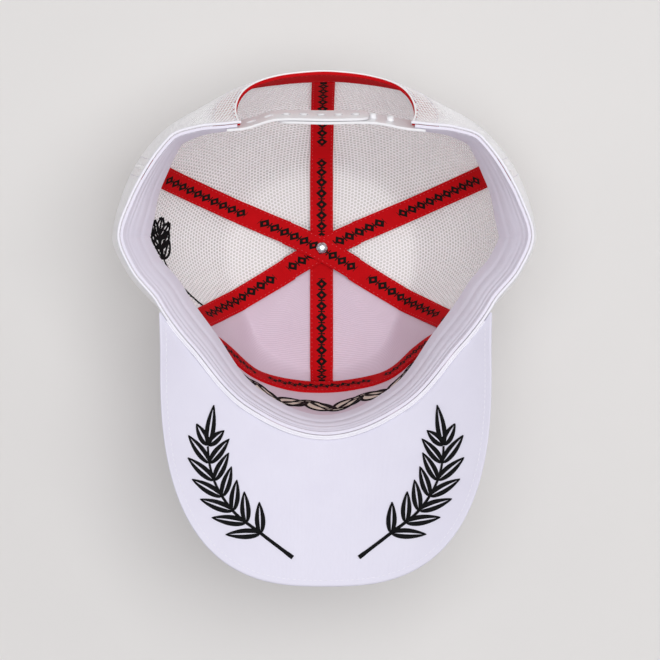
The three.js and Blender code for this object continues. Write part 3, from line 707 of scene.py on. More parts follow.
def endTree(tree, start, made):
    smooth = addNode(tree, "GeometryNodeSetShadeSmooth", {"Geometry": made})
    real = addNode(tree, "GeometryNodeRealizeInstances", {"Geometry": smooth.outputs[0]})
    painted = addNode(tree, "GeometryNodeSetMaterial", {
        "Geometry": real.outputs[0], "Material": start.outputs["Material"]})
    addNode(tree, "NodeGroupOutput", {"Geometry": painted.outputs[0]})
    return tree


def webTree():
    tree, start = startTree("netWeb", ("Hole Share", "Thread Thickness"))
    cells = addNode(tree, "GeometryNodeDualMesh", {
        "Mesh": start.outputs["Geometry"], "Keep Boundaries": True})
    lifted = addNode(tree, "GeometryNodeExtrudeMesh", {
        "Mesh": cells.outputs[0], "Offset Scale": 0.0, "Individual": True}, mode="FACES")
    shrunk = addNode(tree, "GeometryNodeScaleElements", {
        "Geometry": lifted.outputs["Mesh"], "Selection": lifted.outputs["Top"],
        "Scale": start.outputs["Hole Share"]}, domain="FACE")
    holed = addNode(tree, "GeometryNodeDeleteGeometry", {
        "Geometry": shrunk.outputs[0], "Selection": lifted.outputs["Top"]}, domain="FACE")
    raised = addNode(tree, "GeometryNodeExtrudeMesh", {
        "Mesh": holed.outputs[0], "Offset Scale": start.outputs["Thread Thickness"],
        "Individual": False}, mode="FACES")
    back = addNode(tree, "GeometryNodeFlipFaces", {"Mesh": holed.outputs[0]})
    both = addNode(tree, "GeometryNodeJoinGeometry")
    tree.links.new(back.outputs[0], both.inputs[0])
    tree.links.new(raised.outputs["Mesh"], both.inputs[0])
    merged = addNode(tree, "GeometryNodeMergeByDistance", {
        "Geometry": both.outputs[0], "Distance": net["weld"] / 1000})
    return endTree(tree, start, merged.outputs[0])


def makeByNodes(name, mesh, tree, values):
    # runs a node tree on a mesh and keeps the plain result
    seed = addObject(name + "Seed", mesh)
    modifier = seed.modifiers.new("nodes", "NODES")
    modifier.node_group = tree
    for item in tree.interface.items_tree:
        if item.in_out == "INPUT" and item.name in values:
            modifier[item.identifier] = values[item.name]
    result = seed.evaluated_get(bpy.context.evaluated_depsgraph_get())
    made = bpy.data.meshes.new_from_object(result)
    seed.modifiers.remove(modifier)
    bpy.data.objects.remove(seed)
    made.name = name
    return made


netWeb = webTree()


def netPiece(name, fromBearing, toBearing, arched, stands):
    places, faces = netLattice(fromBearing, toBearing, arched)
    points = wallPoint(places[:, 0], places[:, 1], net["depth"] + net["thickness"])
    mesh = bareMesh(name + "Lattice", points, faces)
    web = makeByNodes(name, mesh, netWeb, {
        "Hole Share": net["holeShare"], "Thread Thickness": net["thickness"] / 1000,
        "Material": knittedPolyester})
    addPiece(name, web, [], stands)
    print(name, len(web.polygons), "faces")


netPiece("sideNetRight", frontSeam, rearSeam, False, ["side_mesh_right"])
netPiece("sideNetLeft", -rearSeam, -frontSeam, False, ["side_mesh_left"])
netPiece("backNetRight", rearSeam, 180, True, ["back_mesh_right"])
netPiece("backNetLeft", -180, -rearSeam, True, ["back_mesh_left"])
print("net panels done")


# Brim

brim = {
    "width": 169, "length": 72, "wall": 3.2, "tilt": 12, "curl": 27, "corner": 65.5, "end": 1.4,
    "gap": 0.3, "squareness": 2.7, "roundShare": 0.84, "straightBack": 0.53, "rounding": 1.5,
    "stations": 121, "rows": 25, "edgeRows": 6,
}


def brimUp(x, y):
    forward = -y - crown["frontReach"]
    up = crown["height"] * upperShape[0, 2] + math.tan(math.radians(brim["tilt"])) * forward
    return up + brim["curl"] * (x / (brim["width"] / 2)) ** 2


def brimEdge(share):
    corner = wallPoint(brim["corner"], 0, -brim["end"])[:2]
    side = np.array([brim["width"] / 2, -brim["straightBack"] * crown["frontReach"]])
    reach = crown["frontReach"] + brim["length"] + side[1]
    size = np.abs(share)
    angle = np.minimum(size / brim["roundShare"], 1) * np.pi / 2
    curved = np.stack([
        side[0] * np.sin(angle) ** (2 / brim["squareness"]),
        side[1] - reach * np.maximum(np.cos(angle), 0) ** (2 / brim["squareness"]),
    ], axis=1)
    along = np.clip((size - brim["roundShare"]) / (1 - brim["roundShare"]), 0, 1)[:, None]
    edge = np.where(along > 0, side + (corner - side) * along, curved)
    return edge * np.stack([np.sign(share + 1e-12), np.ones_like(share)], axis=1)


def brimPiece():
    shares = np.linspace(-1, 1, brim["stations"])
    bearing = shares * brim["corner"]
    edge = brimEdge(shares)
    radius = brim["rounding"]
    fromEdge = radius * (1 - np.cos(np.linspace(0, np.pi / 2, brim["edgeRows"])))[::-1]
    grids = []
    for under in (0, 1):
        depth = under * brim["wall"]
        ring = ringsFor(depth, bearing, np.zeros_like(bearing)) if under else np.zeros_like(bearing)
        root = wallPoint(bearing, ring, -brim["gap"])[:, :2]
        length = np.linalg.norm(edge - root, axis=1)
        shoulder = np.minimum(radius, 0.5 * length)
        even = np.linspace(0, 1, brim["rows"], endpoint=False)[:, None] * (length - shoulder)
        turned = length - fromEdge[:, None] * shoulder / radius
        along = np.vstack([even, turned])
        place = root + (edge - root) * (along / length)[..., None]
        into = np.clip((length - along) / shoulder, 0, 1)
        drop = shoulder * (1 - np.sqrt(np.clip(1 - (1 - into) ** 2, 0, 1)))
        up = brimUp(place[..., 0], place[..., 1]) + (drop - brim["wall"] if under else -drop)
        grids.append(np.concatenate([place, up[..., None]], axis=-1))
    wallPiece("brimCloth", grids[0], grids[1], [plainCotton, cottonTwill], "cloth", ["brim"], None, 60)


brimPiece()
print("brim done")


# Sweatband and the rolled beads along the rim

band = {
    "depth": 30, "lean": 13, "wall": 1.4, "end": 148.4, "gap": 0.3, "creaseDepth": 1.25,
    "narrowFrom": 117, "endShare": 0.22,  # the band is turned under towards its ends
    "stations": 221, "rows": 64, "hem": 1.2,
}
# depth, width and strength of the creases, as shares
creases = ((0.1, 0.028, 0.75), (0.2, 0.03, 0.6), (0.33, 0.05, 0.45), (0.58, 0.06, 0.5))
# depth, lean
bandRows = np.array([(0, 0), (0.24, 0.27), (0.36, 0.42), (0.56, 0.62), (0.7, 0.76), (1, 1)])
# bearing, lean
bandLeans = np.array([(0, 0.63), (30, 0.74), (60, 1), (95, 1), (116, 0.57), (137.8, 0.35)])


def rimInward(bearing):
    along = crownSlopes(bearing, np.zeros_like(bearing))[0]
    return unit(np.stack([-along[..., 1], along[..., 0], np.zeros_like(along[..., 0])], axis=-1))


def insideRim(bearing, inset):
    return crownPoint(bearing, np.zeros_like(bearing)) + rimInward(bearing) * inset


def bandCrease(deep, bearing):
    # lengthwise creases, stronger towards the front
    crease = np.zeros(np.broadcast(deep, bearing).shape)
    for place, width, size in creases:
        drift = 0.012 * np.sin(bearing / 11 + place * 30)
        frontShare = np.maximum(np.cos(np.radians(bearing)), 0) ** 1.5
        strength = size * (0.3 + 0.75 * frontShare + 0.12 * np.sin(bearing / 7 + place * 50))
        crease = crease + strength * np.exp(-((deep - place - drift) / width) ** 2)
    return crease * band["creaseDepth"]


def bandGrid(wall):
    bearing = np.linspace(-band["end"], band["end"], band["stations"])[None, :]
    deep = np.linspace(0, 1, band["rows"])[:, None]
    bearings = np.broadcast_to(bearing, (band["rows"], band["stations"]))
    lean = smoothAt(bandRows[:, 0], bandRows[:, 1], deep.ravel())[:, None]
    share = smoothAt(bandLeans[:, 0], bandLeans[:, 1], np.abs(bearing.ravel()), True)[None, :]
    whole = 1 - (1 - band["endShare"]) * smoothStep(band["narrowFrom"], band["end"], np.abs(bearing))
    inset = crown["wall"] + band["gap"] + lean * share * whole * band["lean"] + wall
    if wall:
        inset = inset - bandCrease(deep, bearing)
        edge = np.clip(1 - (1 - deep) * band["depth"] / band["hem"], 0, 1)
        inset = inset - 0.5 * wall * edge ** 2
    points = insideRim(bearings, inset[..., None])
    points[..., 2] -= deep * whole * band["depth"]
    return points


bandFaces = bandGrid(0), bandGrid(band["wall"])
wallPiece("sweatbandCloth", *bandFaces, [bandCotton], "sweatband", ["sweatband"], None, 50)


def rimTube(name, end, inward, up, radius):
    bearing = np.linspace(-end, end, rim["stations"])
    centres = insideRim(bearing, inward)
    centres[:, 2] += up
    normals = np.tile([0.0, 0.0, 1.0], (len(bearing), 1))
    sides = unit(np.cross(tangents(centres), normals))
    mesh = sweepMesh(name, [{
        "centres": centres, "sides": sides, "normals": normals, "section": circleSection(10),
        "width": 2 * radius, "height": radius}])
    addPiece(name, mesh, [cottonTwill])


archCorner = crown["archCorner"]
rim = {
    "stations": 260, "beadEnd": archCorner + 0.5,  # just round the arch's corner
    "beadInward": 0.8, "beadUp": 0.05, "bead": 0.75,
    "weltEnd": 62, "weltInward": -0.25, "weltUp": 0.1, "welt": 0.5,
}
rimTube("rimBead", rim["beadEnd"], rim["beadInward"], rim["beadUp"], rim["bead"])
rimTube("brimWelt", rim["weltEnd"], rim["weltInward"], rim["weltUp"], rim["welt"])


def seamCord(bearing):
    # the edges of two net panels, folded together into a flat cord
    rings = np.linspace(archTopRing if bearing == 180 else 0.02, dimpleRing, 200)
    at = np.full_like(rings, bearing)
    centres = wallPoint(at, rings, net["depth"] + net["seamDepth"])
    normals = outwardAt(at, rings)
    sides = unit(np.cross(tangents(centres), normals))
    return {
        "centres": centres, "sides": sides, "normals": normals, "section": circleSection(8),
        "width": net["seamWidth"], "height": net["seamHeight"]}


cords = [seamCord(bearing) for bearing in (-rearSeam, -frontSeam, frontSeam, rearSeam, 180)]
addPiece("netSeamCords", sweepMesh("netSeamCords", cords), [knittedPolyester])
print("sweatband and seams done")


# Seam tapes and the binding round the arch

tape = {
    "width": 12.6, "wall": 0.8, "gap": 0.7, "crossing": 0.45, "start": 10, "butt": 1.2, "seamGap": 0.3,
    "fold": 1.2, "foldDepth": 1.25, "sunk": 1.2,  # the ribbon is sewn tight to the net
    "underRim": 1.6,  # the binding's ends start under the bead
    "settleFrom": 30, "settleTo": 16,  # between these radii the tapes rise over each other
    "curl": 0.18, "netFold": 1.1, "lap": 0.1,
}
tapeStep = tape["wall"] + tape["crossing"]
bindingStart = float(ringsFor(tape["underRim"], archCorner, 0))
acrossShares = np.array([-1, -0.9, -0.6, -0.3, 0, 0.3, 0.6, 0.9, 1])


def tapeLift(level, radius):
    settled = smoothStep(tape["settleTo"], tape["settleFrom"], radius)
    return (level * tapeStep + tape["seamGap"]) * (1 - settled)


def tapeCurl(across):
    # the edges of the ribbon lie a little lower than its middle
    return tape["curl"] * np.abs(across) ** 6


def meridianRows(bearing, rings, level, side):
    rings = np.broadcast_to(rings[:, None], (len(rings), len(acrossShares)))
    turn = degreesFor(tape["width"] / 2, bearing, rings[:, 0])[:, None]
    at = bearing + acrossShares[None, :] * side * turn
    centre = crownPoint(at, rings)
    lift = tapeLift(level, np.hypot(centre[..., 0], centre[..., 1]))
    near = crown["wall"] + tape["gap"] + lift
    top = near + tape["wall"] - tapeCurl(acrossShares)[None, :]
    return wallPoint(at, rings, near - tape["sunk"]), wallPoint(at, rings, top)


dimpleRings = np.linspace(dimpleRing - 0.9, eyeRing, 400)
dimpleLine = crownPoint(np.zeros(400), dimpleRings)


def dimpleUp(radius):
    return np.interp(radius, -dimpleLine[::-1, 1], dimpleLine[::-1, 2])


def dimpleRows(fromBearing, toBearing, level):
    start = crownPoint(fromBearing, dimpleRing)[:2]
    end = crownPoint(toBearing, dimpleRing)[:2]
    t = np.linspace(0, 1, 41)[1:-1, None]
    centre = (1 - t) ** 2 * start + t ** 2 * end
    heading = unit(-2 * (1 - t) * start + 2 * t * end)
    aside = np.stack([heading[:, 1], -heading[:, 0]], axis=1) * tape["width"] / 2
    place = centre[:, None] + aside[:, None] * acrossShares[None, :, None]
    radius = np.linalg.norm(place, axis=-1)
    low = dimpleUp(radius) + crown["wall"] + tape["gap"] + tapeLift(level, radius)
    high = low + tape["wall"] - tapeCurl(acrossShares)[None, :]
    low = low - tape["sunk"]
    return tuple(np.concatenate([place, up[..., None]], axis=-1) for up in (low, high))


sewing = {
    "edgeShare": 0.84,  # of half the ribbon's width
    "ribbonLift": -0.02, "clothLift": 0.02, "netLift": 0.05, "floorLift": 0.02,
    "archInset": 1.3, "brimInset": 3.3, "brimSink": 0.07, "bandEnd": 136, "bandDrop": 1.5,
    "bandLift": 0.2, "start": 0.05, "past": 0.5, "archPast": 0.35, "reach": 0.93,
}
stitchLines = {"red": [], "white": []}


def addEdgeStitches(grid):
    # lines of stitches along both edges of a ribbon, on its upper face
    normals = unit(np.cross(np.gradient(grid, axis=1), np.gradient(grid, axis=0)))
    for side in (-1, 1):
        at = np.array([np.interp(side * sewing["edgeShare"], acrossShares, np.arange(len(acrossShares)))])
        low, part = int(at[0]), at[0] - int(at[0])
        line = grid[:, low] * (1 - part) + grid[:, low + 1] * part
        stitchLines["red"].append(line + normals[:, low] * sewing["ribbonLift"])


def crossingTape(name, fromBearing, startRing, toBearing, endRing, level, stands):
    out = meridianRows(fromBearing, np.linspace(startRing, dimpleRing, 70), level, 1)
    middle = dimpleRows(fromBearing, toBearing, level)
    back = meridianRows(toBearing, np.linspace(endRing, dimpleRing, 70)[::-1], level, -1)
    near, top = (np.concatenate([out[i], middle[i], back[i]]) for i in (0, 1))
    wallPiece(name, near, top, [printedRibbon], "tape", [stands], None, 50)
    addEdgeStitches(top)


def rightOf(bearing, ring):
    heading = np.gradient(crownPoint(bearing, ring), axis=0)
    return unit(np.cross(outwardAt(bearing, ring), heading))


def pathTape(name, bearing, ring, leftSide, rightSide, limit, stands, material):
    right = rightOf(bearing, ring)
    middle, half = (leftSide + rightSide) / 2, (rightSide - leftSide) / 2
    distance = middle + acrossShares * half
    shape = (len(bearing), len(acrossShares))
    at, on = walkOn(
        np.broadcast_to(bearing[:, None], shape), np.broadcast_to(ring[:, None], shape),
        right[:, None] * distance[None, :, None])
    on = np.maximum(on, bindingStart)
    at = limit(at, on)
    near = crown["wall"] + tape["gap"]
    top = near + tape["wall"] - tapeCurl(acrossShares)[None, :]
    outer = wallPoint(at, on, near - tape["sunk"])
    inner = wallPoint(at, on, top)
    wallPiece(name, outer, inner, [material], "tape", [stands], None, 50)
    addEdgeStitches(inner)


def startRingAt(bearing):
    return float(ringsFor(tape["start"], bearing, 0))


centreStart = crown["seamCrest"] + float(ringsFor(tape["width"] / 2 + tape["butt"], 0, shoulderRing))
centreEnd = archTopRing + float(ringsFor(tape["width"] + tape["butt"], 180, archTopRing))
crossingTape("tapeCentreRibbon", 0, centreStart, 180, centreEnd, 0, "tape_centre")
crossingTape(
    "tapeFrontLeftRibbon", -frontSeam, startRingAt(frontSeam), rearSeam, startRingAt(rearSeam), 1,
    "tape_front_left")
crossingTape(
    "tapeFrontRightRibbon", frontSeam, startRingAt(frontSeam), -rearSeam, startRingAt(rearSeam), 2,
    "tape_front_right")


def keepBetweenSeams(bearing, ring):
    clear = degreesFor(tape["width"] / 2 + tape["seamGap"], frontSeam, ring)
    return np.clip(bearing, clear - frontSeam, frontSeam - clear)


archBearings = np.linspace(-1, 1, 90) * frontSeam
pathTape(
    "tapeArchRibbon", archBearings, frontSeamRing(archBearings), -tape["width"] / 2, tape["width"] / 2,
    keepBetweenSeams, "tape_front_arch", printedRibbon)
bindingAngles = np.linspace(0, np.pi, 90)
bindingBearings = 180 - (180 - archCorner) * np.cos(bindingAngles)
bindingRings = archTopRing * np.sin(bindingAngles)
pathTape(
    "archBindingRibbon", bindingBearings, bindingRings, -tape["width"], 0,
    lambda bearing, ring: bearing, "arch_binding", plainRibbon)


def archEdge(name, startRing, fromDepth, toDepth, width, material):
    # a soft edge that follows the arch, between two depths of the wall
    rings = np.maximum(bindingRings, startRing)
    path = {
        "centres": wallPoint(bindingBearings, rings, (fromDepth + toDepth) / 2),
        "sides": rightOf(bindingBearings, rings), "normals": outwardAt(bindingBearings, rings),
        "section": circleSection(12), "width": width, "height": (toDepth - fromDepth) / 2}
    addPiece(name, sweepMesh(name, [path]), [material])


# the net is turned in at the arch, and the binding is folded over its cut edge
netTop, foldTop = net["depth"] - tape["lap"], tape["foldDepth"] - tape["lap"]
innerDepth = crown["wall"] + tape["gap"] + tape["wall"]
archEdge("archNetEdge", 0, netTop, tape["foldDepth"], tape["netFold"], knittedPolyester)
archEdge("archBindingFold", bindingStart, foldTop, innerDepth, tape["fold"], plainRibbon)
print("tapes done")


# Snap strap, in two halves

strap = {
    "height": 20, "wall": 1.4, "lean": 17, "tipRadius": 6, "tail": 6.5, "tuck": 1, "tipMargin": 2.5,
    "shift": -2.5, "pitch": 8.85, "pegRadius": 1.9, "pegLength": 2.4, "pegs": 7, "free": 2,
    "clearance": 0.35, "gap": 0.3, "grid": 2.2, "holeMargin": 1.2, "edgeMargin": 0.7,
    "headFrom": 0.72, "neckAt": 0.55, "neck": 0.92, "fillet": 0.25, "bevel": 0.3,
    "cornerSteps": 8, "holeSteps": 20, "edgeSteps": 39, "inner": 0.985,
}
strapLean = math.radians(strap["lean"])
strapOut = np.array([0, math.cos(strapLean), math.sin(strapLean)])
rimBearings = np.linspace(rearSeam, 180, 800)
rimLine = crownPoint(rimBearings, np.zeros(800))
strapCorner = crownPoint(archCorner, 0.0)[0]
fastened = strap["pegs"] - strap["free"]
firstPeg = strap["shift"] - (fastened - 1) / 2 * strap["pitch"]
pegTip = firstPeg - strap["pegRadius"] - strap["tipMargin"]
holeTip = firstPeg + fastened * strap["pitch"] - strap["pegRadius"] - strap["clearance"]


def strapPoint(place, layer, out):
    x, along = place[:, 0], place[:, 1]
    back = np.interp(np.abs(x), rimLine[::-1, 0], rimLine[::-1, 1])
    tucked = smoothStep(abs(pegTip), strapCorner, np.abs(x))
    back = back - tucked * (crown["wall"] + tape["gap"] + tape["wall"] + strap["tuck"])
    layerOut = out - (1 - tucked) * layer * (strap["wall"] + strap["gap"])
    return np.stack([
        x,
        back + along * math.sin(strapLean) + layerOut * math.cos(strapLean),
        crown["height"] - along * math.cos(strapLean) + layerOut * math.sin(strapLean),
    ], axis=1)


def insideLoop(points, loop):
    after = np.roll(loop, -1, axis=0)
    x, y = points[:, :1], points[:, 1:]
    crosses = (loop[None, :, 1] > y) != (after[None, :, 1] > y)
    rise = np.where(after[:, 1] == loop[:, 1], 1, after[:, 1] - loop[:, 1])
    where = loop[None, :, 0] + (y - loop[None, :, 1]) * (after[:, 0] - loop[:, 0])[None] / rise[None]
    return (crosses & (x < where)).sum(axis=1) % 2 == 1


def strapPlate(name, tip, tail, layer, holes, stands):
    # flat outline with its holes, cut into triangles, then laid along the rim
    towards = np.sign(tail - tip)
    radius, height = strap["tipRadius"], strap["height"]
    angles = np.linspace(0, np.pi / 2, strap["cornerSteps"])
    inwards, upwards = radius * (1 - np.cos(angles)), radius * (1 - np.sin(angles))
    corner = np.stack([tip + towards * inwards, upwards], axis=1)
    stations = np.linspace(tip + towards * radius, tail, strap["edgeSteps"] + 1)[1:]
    edge = np.concatenate([corner, np.stack([stations, np.zeros_like(stations)], axis=1)])
    far = edge[::-1] * (1, -1) + (0, height)
    ends = np.stack([np.full(6, tail), np.linspace(0, height, 8)[1:-1]], axis=1)
    outline = np.concatenate([edge, ends, far])
    circle = circleSection(strap["holeSteps"]) * (strap["pegRadius"] + strap["clearance"])
    loops = [outline] + [circle + (x, height / 2) for x in holes]
    xs = np.arange(min(tip, tail), max(tip, tail), strap["grid"])
    ys = np.linspace(0, height, 10)[1:-1]
    spare = np.array([(x, y) for x in xs for y in ys])
    keep = insideLoop(spare, outline * (strap["inner"], 1))
    for loop in loops[1:]:
        fromHole = np.linalg.norm(spare - loop.mean(axis=0), axis=1)
        keep &= fromHole > strap["pegRadius"] + strap["holeMargin"]
    fromEdge = np.abs(spare[:, None] - outline[None]).max(axis=2)
    keep &= (fromEdge > strap["edgeMargin"]).all(axis=1)
    flat = np.concatenate(loops + [spare[keep]])
    edges, start = [], 0
    for loop in loops:
        edges += [(start + i, start + (i + 1) % len(loop)) for i in range(len(loop))]
        start += len(loop)
    cut = delaunay_2d_cdt([Vector(p) for p in flat], edges, [], 0, 1e-4)
    vertices, faces = cut[0], cut[2]
    flat = np.array([tuple(v) for v in vertices])
    faces = np.array(faces)
    middles = flat[faces].mean(axis=1)
    wanted = insideLoop(middles, outline)
    for loop in loops[1:]:
        wanted &= ~insideLoop(middles, loop)
    faces = faces[wanted]
    points = np.concatenate([strapPoint(flat, layer, 0.0), strapPoint(flat, layer, -strap["wall"])])
    under = len(flat)
    a, b, c = (points[faces[:, i]] for i in range(3))
    facing = np.cross(b - a, c - a) @ strapOut > 0
    top = np.where(facing[:, None], faces, faces[:, ::-1])
    sides = {}
    for face in top:
        for i in range(3):
            sides[(face[i], face[(i + 1) % 3])] = True
    rims = [(b, a, a + under, b + under) for a, b in sides if (b, a) not in sides]
    uvs = np.concatenate([flat, flat])
    mesh = bareMesh(name, points, [*top, *(top[:, ::-1] + under), *rims], uvs, 35)
    piece = addPiece(name, mesh, [milkyPolyethylene], stands)
    bevel = piece.modifiers.new("softEdges", "BEVEL")
    bevel.width = strap["bevel"] / 1000
    bevel.segments = 2
    bevel.angle_limit = math.radians(50)


def turnedPath(profile, centre, axis, count=24):
    # stations of a turned shape: radius and height along its axis. Any side that isn't the axis will do.
    profile = np.array(profile, float)
    aside = unit(np.cross(axis, np.array([1.0, 0.2, 0.1])))
    other = np.cross(axis, aside)
    centres = centre + profile[:, 1:] * axis
    return {
        "centres": centres, "sides": np.tile(aside, (len(profile), 1)),
        "normals": np.tile(other, (len(profile), 1)), "section": circleSection(count),
        "width": 2 * profile[:, 0], "height": profile[:, 0],
    }


def pegPaths():
    rounds = np.linspace(0, np.pi / 2, 5)
    radius, length = strap["pegRadius"], strap["pegLength"]
    headFrom, fillet = strap["headFrom"], strap["fillet"]
    paths = []
    for peg in range(strap["pegs"]):
        place = np.array([(firstPeg + peg * strap["pitch"], strap["height"] / 2)])
        centre = strapPoint(place, 1, 0.0)[0]
        profile = [(radius + fillet, -0.1), (radius, fillet)]
        profile += [(radius * strap["neck"], length * strap["neckAt"]), (radius, length * headFrom)]
        for angle in rounds[1:-1]:
            head = headFrom + (1 - headFrom) * math.sin(angle)
            profile.append((radius * math.cos(angle), length * head))
        paths.append(turnedPath([*profile, (0.05, length)], centre, strapOut))
    return paths


strapHoles = [firstPeg + hole * strap["pitch"] for hole in range(-strap["free"], fastened)]
strapEnd = strapCorner + strap["tail"]
strapPlate("strapHolesPlastic", holeTip, -strapEnd, 0, strapHoles, ["strap_with_holes"])
strapPlate("strapPegsPlastic", pegTip, strapEnd, 1, [], ["strap_with_pegs"])
addPiece("strapPegHeads", sweepMesh("strapPegHeads", pegPaths(), 40), [milkyPolyethylene])
print("strap done")


# Rivet and covered button

rivet = {"radius": 3.1, "rise": 1.9, "shank": 1.5, "undercut": 0.25, "skirt": 0.2, "closed": 0.05}
button = {"radius": 7, "clearance": 0.3, "hem": 0.93, "hemUp": 0.15}
upAxis = np.array([0.0, 0.0, 1.0])
rivetBase = crown["apexUp"] + crown["wall"] + tape["gap"] + tape["seamGap"] + 3 * tapeStep
skirtUp = rivetBase + rivet["skirt"]
rivetProfile = [
    (rivet["closed"], crown["apexUp"]), (rivet["shank"], crown["apexUp"]), (rivet["shank"], rivetBase),
    (rivet["radius"] - rivet["undercut"], rivetBase), (rivet["radius"], skirtUp),
]
rivetProfile += [
    (rivet["radius"] * math.cos(a), skirtUp + (rivet["rise"] - rivet["skirt"]) * math.sin(a))
    for a in np.linspace(0.15, 1.55, 12)
]
rivetMesh = sweepMesh("rivetCap", [turnedPath(rivetProfile, np.zeros(3), upAxis, 36)], 45)
addPiece("rivetCap", rivetMesh, [nickelPlate], ["rivet"])

edgeUp = float(dimpleUp(button["radius"])) - tape["seamGap"]
buttonTop = crown["apexUp"] - tape["seamGap"]
buttonProfile = [
    (button["radius"] * math.sin(a), edgeUp - (edgeUp - button["clearance"]) * math.cos(a))
    for a in np.linspace(0.02, np.pi / 2, 14)
]
buttonProfile += [
    (button["radius"] * button["hem"], edgeUp + button["hemUp"]),
    (rivet["shank"], buttonTop), (rivet["closed"], buttonTop),
]
buttonMesh = sweepMesh("buttonCloth", [turnedPath(buttonProfile, np.zeros(3), upAxis, 40)], 60)
addPiece("buttonCloth", buttonMesh, [cottonTwill], ["top_button"])
print("rivet and button done")


# Embroidery: raised strokes of laid thread

def strokeAlong(points, normals, widths, height):
    sides = unit(np.cross(tangents(points), normals))
    return {
        "centres": points, "sides": sides, "normals": normals, "section": threadSection,
        "width": widths, "height": height,
    }


def catmullRom(points, count):
    points = np.array(points, float)
    ends = np.concatenate([[2 * points[0] - points[1]], points, [2 * points[-1] - points[-2]]])
    fine = []
    for i in range(len(points) - 1):
        p0, p1, p2, p3 = ends[i:i + 4]
        d0, d1, d2 = (math.sqrt(np.linalg.norm(b - a)) for a, b in ((p0, p1), (p1, p2), (p2, p3)))
        start = ((p1 - p0) / d0 - (p2 - p0) / (d0 + d1) + (p2 - p1) / d1) * d1
        end = ((p2 - p1) / d1 - (p3 - p1) / (d1 + d2) + (p3 - p2) / d2) * d1
        t = np.linspace(0, 1, 60, endpoint=False)[:, None]
        rise = p2 - p1
        fine.append(p1 + t * (start + t * ((3 * rise - 2 * start - end) + t * (start + end - 2 * rise))))
    fine = np.concatenate([*fine, points[-1:]])
    lengths = lengthsAlong(fine)
    at = np.linspace(0, lengths[-1], count)
    return np.stack([np.interp(at, lengths, fine[:, k]) for k in range(2)], axis=1), lengths[-1]


laurel = {
    "leafWidth": 5.1, "leafLength": 17.8, "pitch": 9.13, "pairs": 7, "stem": 2.0, "stemTip": 1.2,
    "rise": 0.75, "lift": 0.05, "outerTurn": 27, "innerTurn": -49, "lowestTurn": 12,
    "innerShare": 0.88, "lastShare": 0.7, "slit": 0.85, "widestAt": 0.4, "edge": 0.15, "tip": 0.14,
    "steps": 200,
}
# across, forward
stemShares = np.array([
    (0.2, 0.794), (0.393, 0.621), (0.56, 0.461), (0.675, 0.242), (0.712, -0.003), (0.678, -0.285),
])


def onBrim(flat, mirror):
    x, y = flat[:, 0] * mirror, flat[:, 1]
    up = brimUp(x, y) + laurel["lift"]
    slope = 2 * brim["curl"] * x / (brim["width"] / 2) ** 2
    tilt = math.tan(math.radians(brim["tilt"]))
    normals = unit(np.stack([-slope, np.full_like(x, tilt), np.ones_like(x)], axis=1))
    return np.stack([x, y, up], axis=1), normals


def leafStrokes(base, angle, length):
    # a leaf is two satin crescents with a bare slit between them
    t = np.linspace(0, 1, 15)
    along = np.array([math.cos(angle), math.sin(angle)])
    aside = np.array([-along[1], along[0]])
    early = t ** (math.log(0.5) / math.log(laurel["widestAt"]))
    half = laurel["leafWidth"] / 2 * np.sin(np.pi * early) ** 0.85 + laurel["tip"]
    slit = laurel["slit"] / 2 * np.sin(np.pi * np.clip(t * 1.2 - 0.1, 0, 1)) ** 0.8
    for side in (-1, 1):
        offset = side * (half + slit) / 2
        yield base + t[:, None] * length * along + offset[:, None] * aside, half - slit + laurel["edge"]


def laurelPiece(name, mirror, stands):
    points = [(-a * brim["width"] / 2, -crown["frontReach"] - f * brim["length"]) for a, f in stemShares]
    steps = laurel["steps"]
    stem, total = catmullRom(points, steps + 1)
    root = (total - (laurel["pairs"] - 1) * laurel["pitch"]) / 2
    headings = tangents(stem)

    def at(distance):
        index = np.clip(distance / total * steps, 0, steps)
        low = min(int(index), steps - 1)
        return stem[low] + (stem[low + 1] - stem[low]) * (index - low), headings[low]

    last = int((total - root) / total * steps)
    shaft = stem[:last:4]
    widths = np.linspace(laurel["stem"], laurel["stemTip"], len(shaft))
    widths[:3] *= np.array([1.15, 1.2, 1.1])  # the stem's cut end
    strokes = [(shaft, widths)]
    for pair in range(laurel["pairs"]):
        base, heading = at(root + pair * laurel["pitch"])
        angle = math.atan2(heading[1], heading[0])
        size = laurel["leafLength"] * (laurel["lastShare"] if pair == laurel["pairs"] - 1 else 1)
        outer = laurel["outerTurn"] + (laurel["lowestTurn"] if pair == 0 else 0)
        strokes += leafStrokes(base, angle + math.radians(outer), size)
        inner = angle + math.radians(laurel["innerTurn"])
        strokes += leafStrokes(base, inner, size * laurel["innerShare"])
    base, heading = at(total - root)
    strokes += leafStrokes(base, math.atan2(*(stem[-1] - base)[::-1]), np.linalg.norm(stem[-1] - base))
    paths = []
    for flat, widths in strokes:
        centres, normals = onBrim(flat, mirror)
        paths.append(strokeAlong(centres, normals, widths, laurel["rise"]))
    addPiece(name, sweepMesh(name, paths), [blackRayon], stands)


laurelPiece("laurelLeftThread", 1, ["laurel_left"])
laurelPiece("laurelRightThread", -1, ["laurel_right"])


clothFaces = (0, crown["wall"])
netFaces = (net["depth"], net["depth"] + net["thickness"])
backShare = 0.7  # thread stands up less on the inside


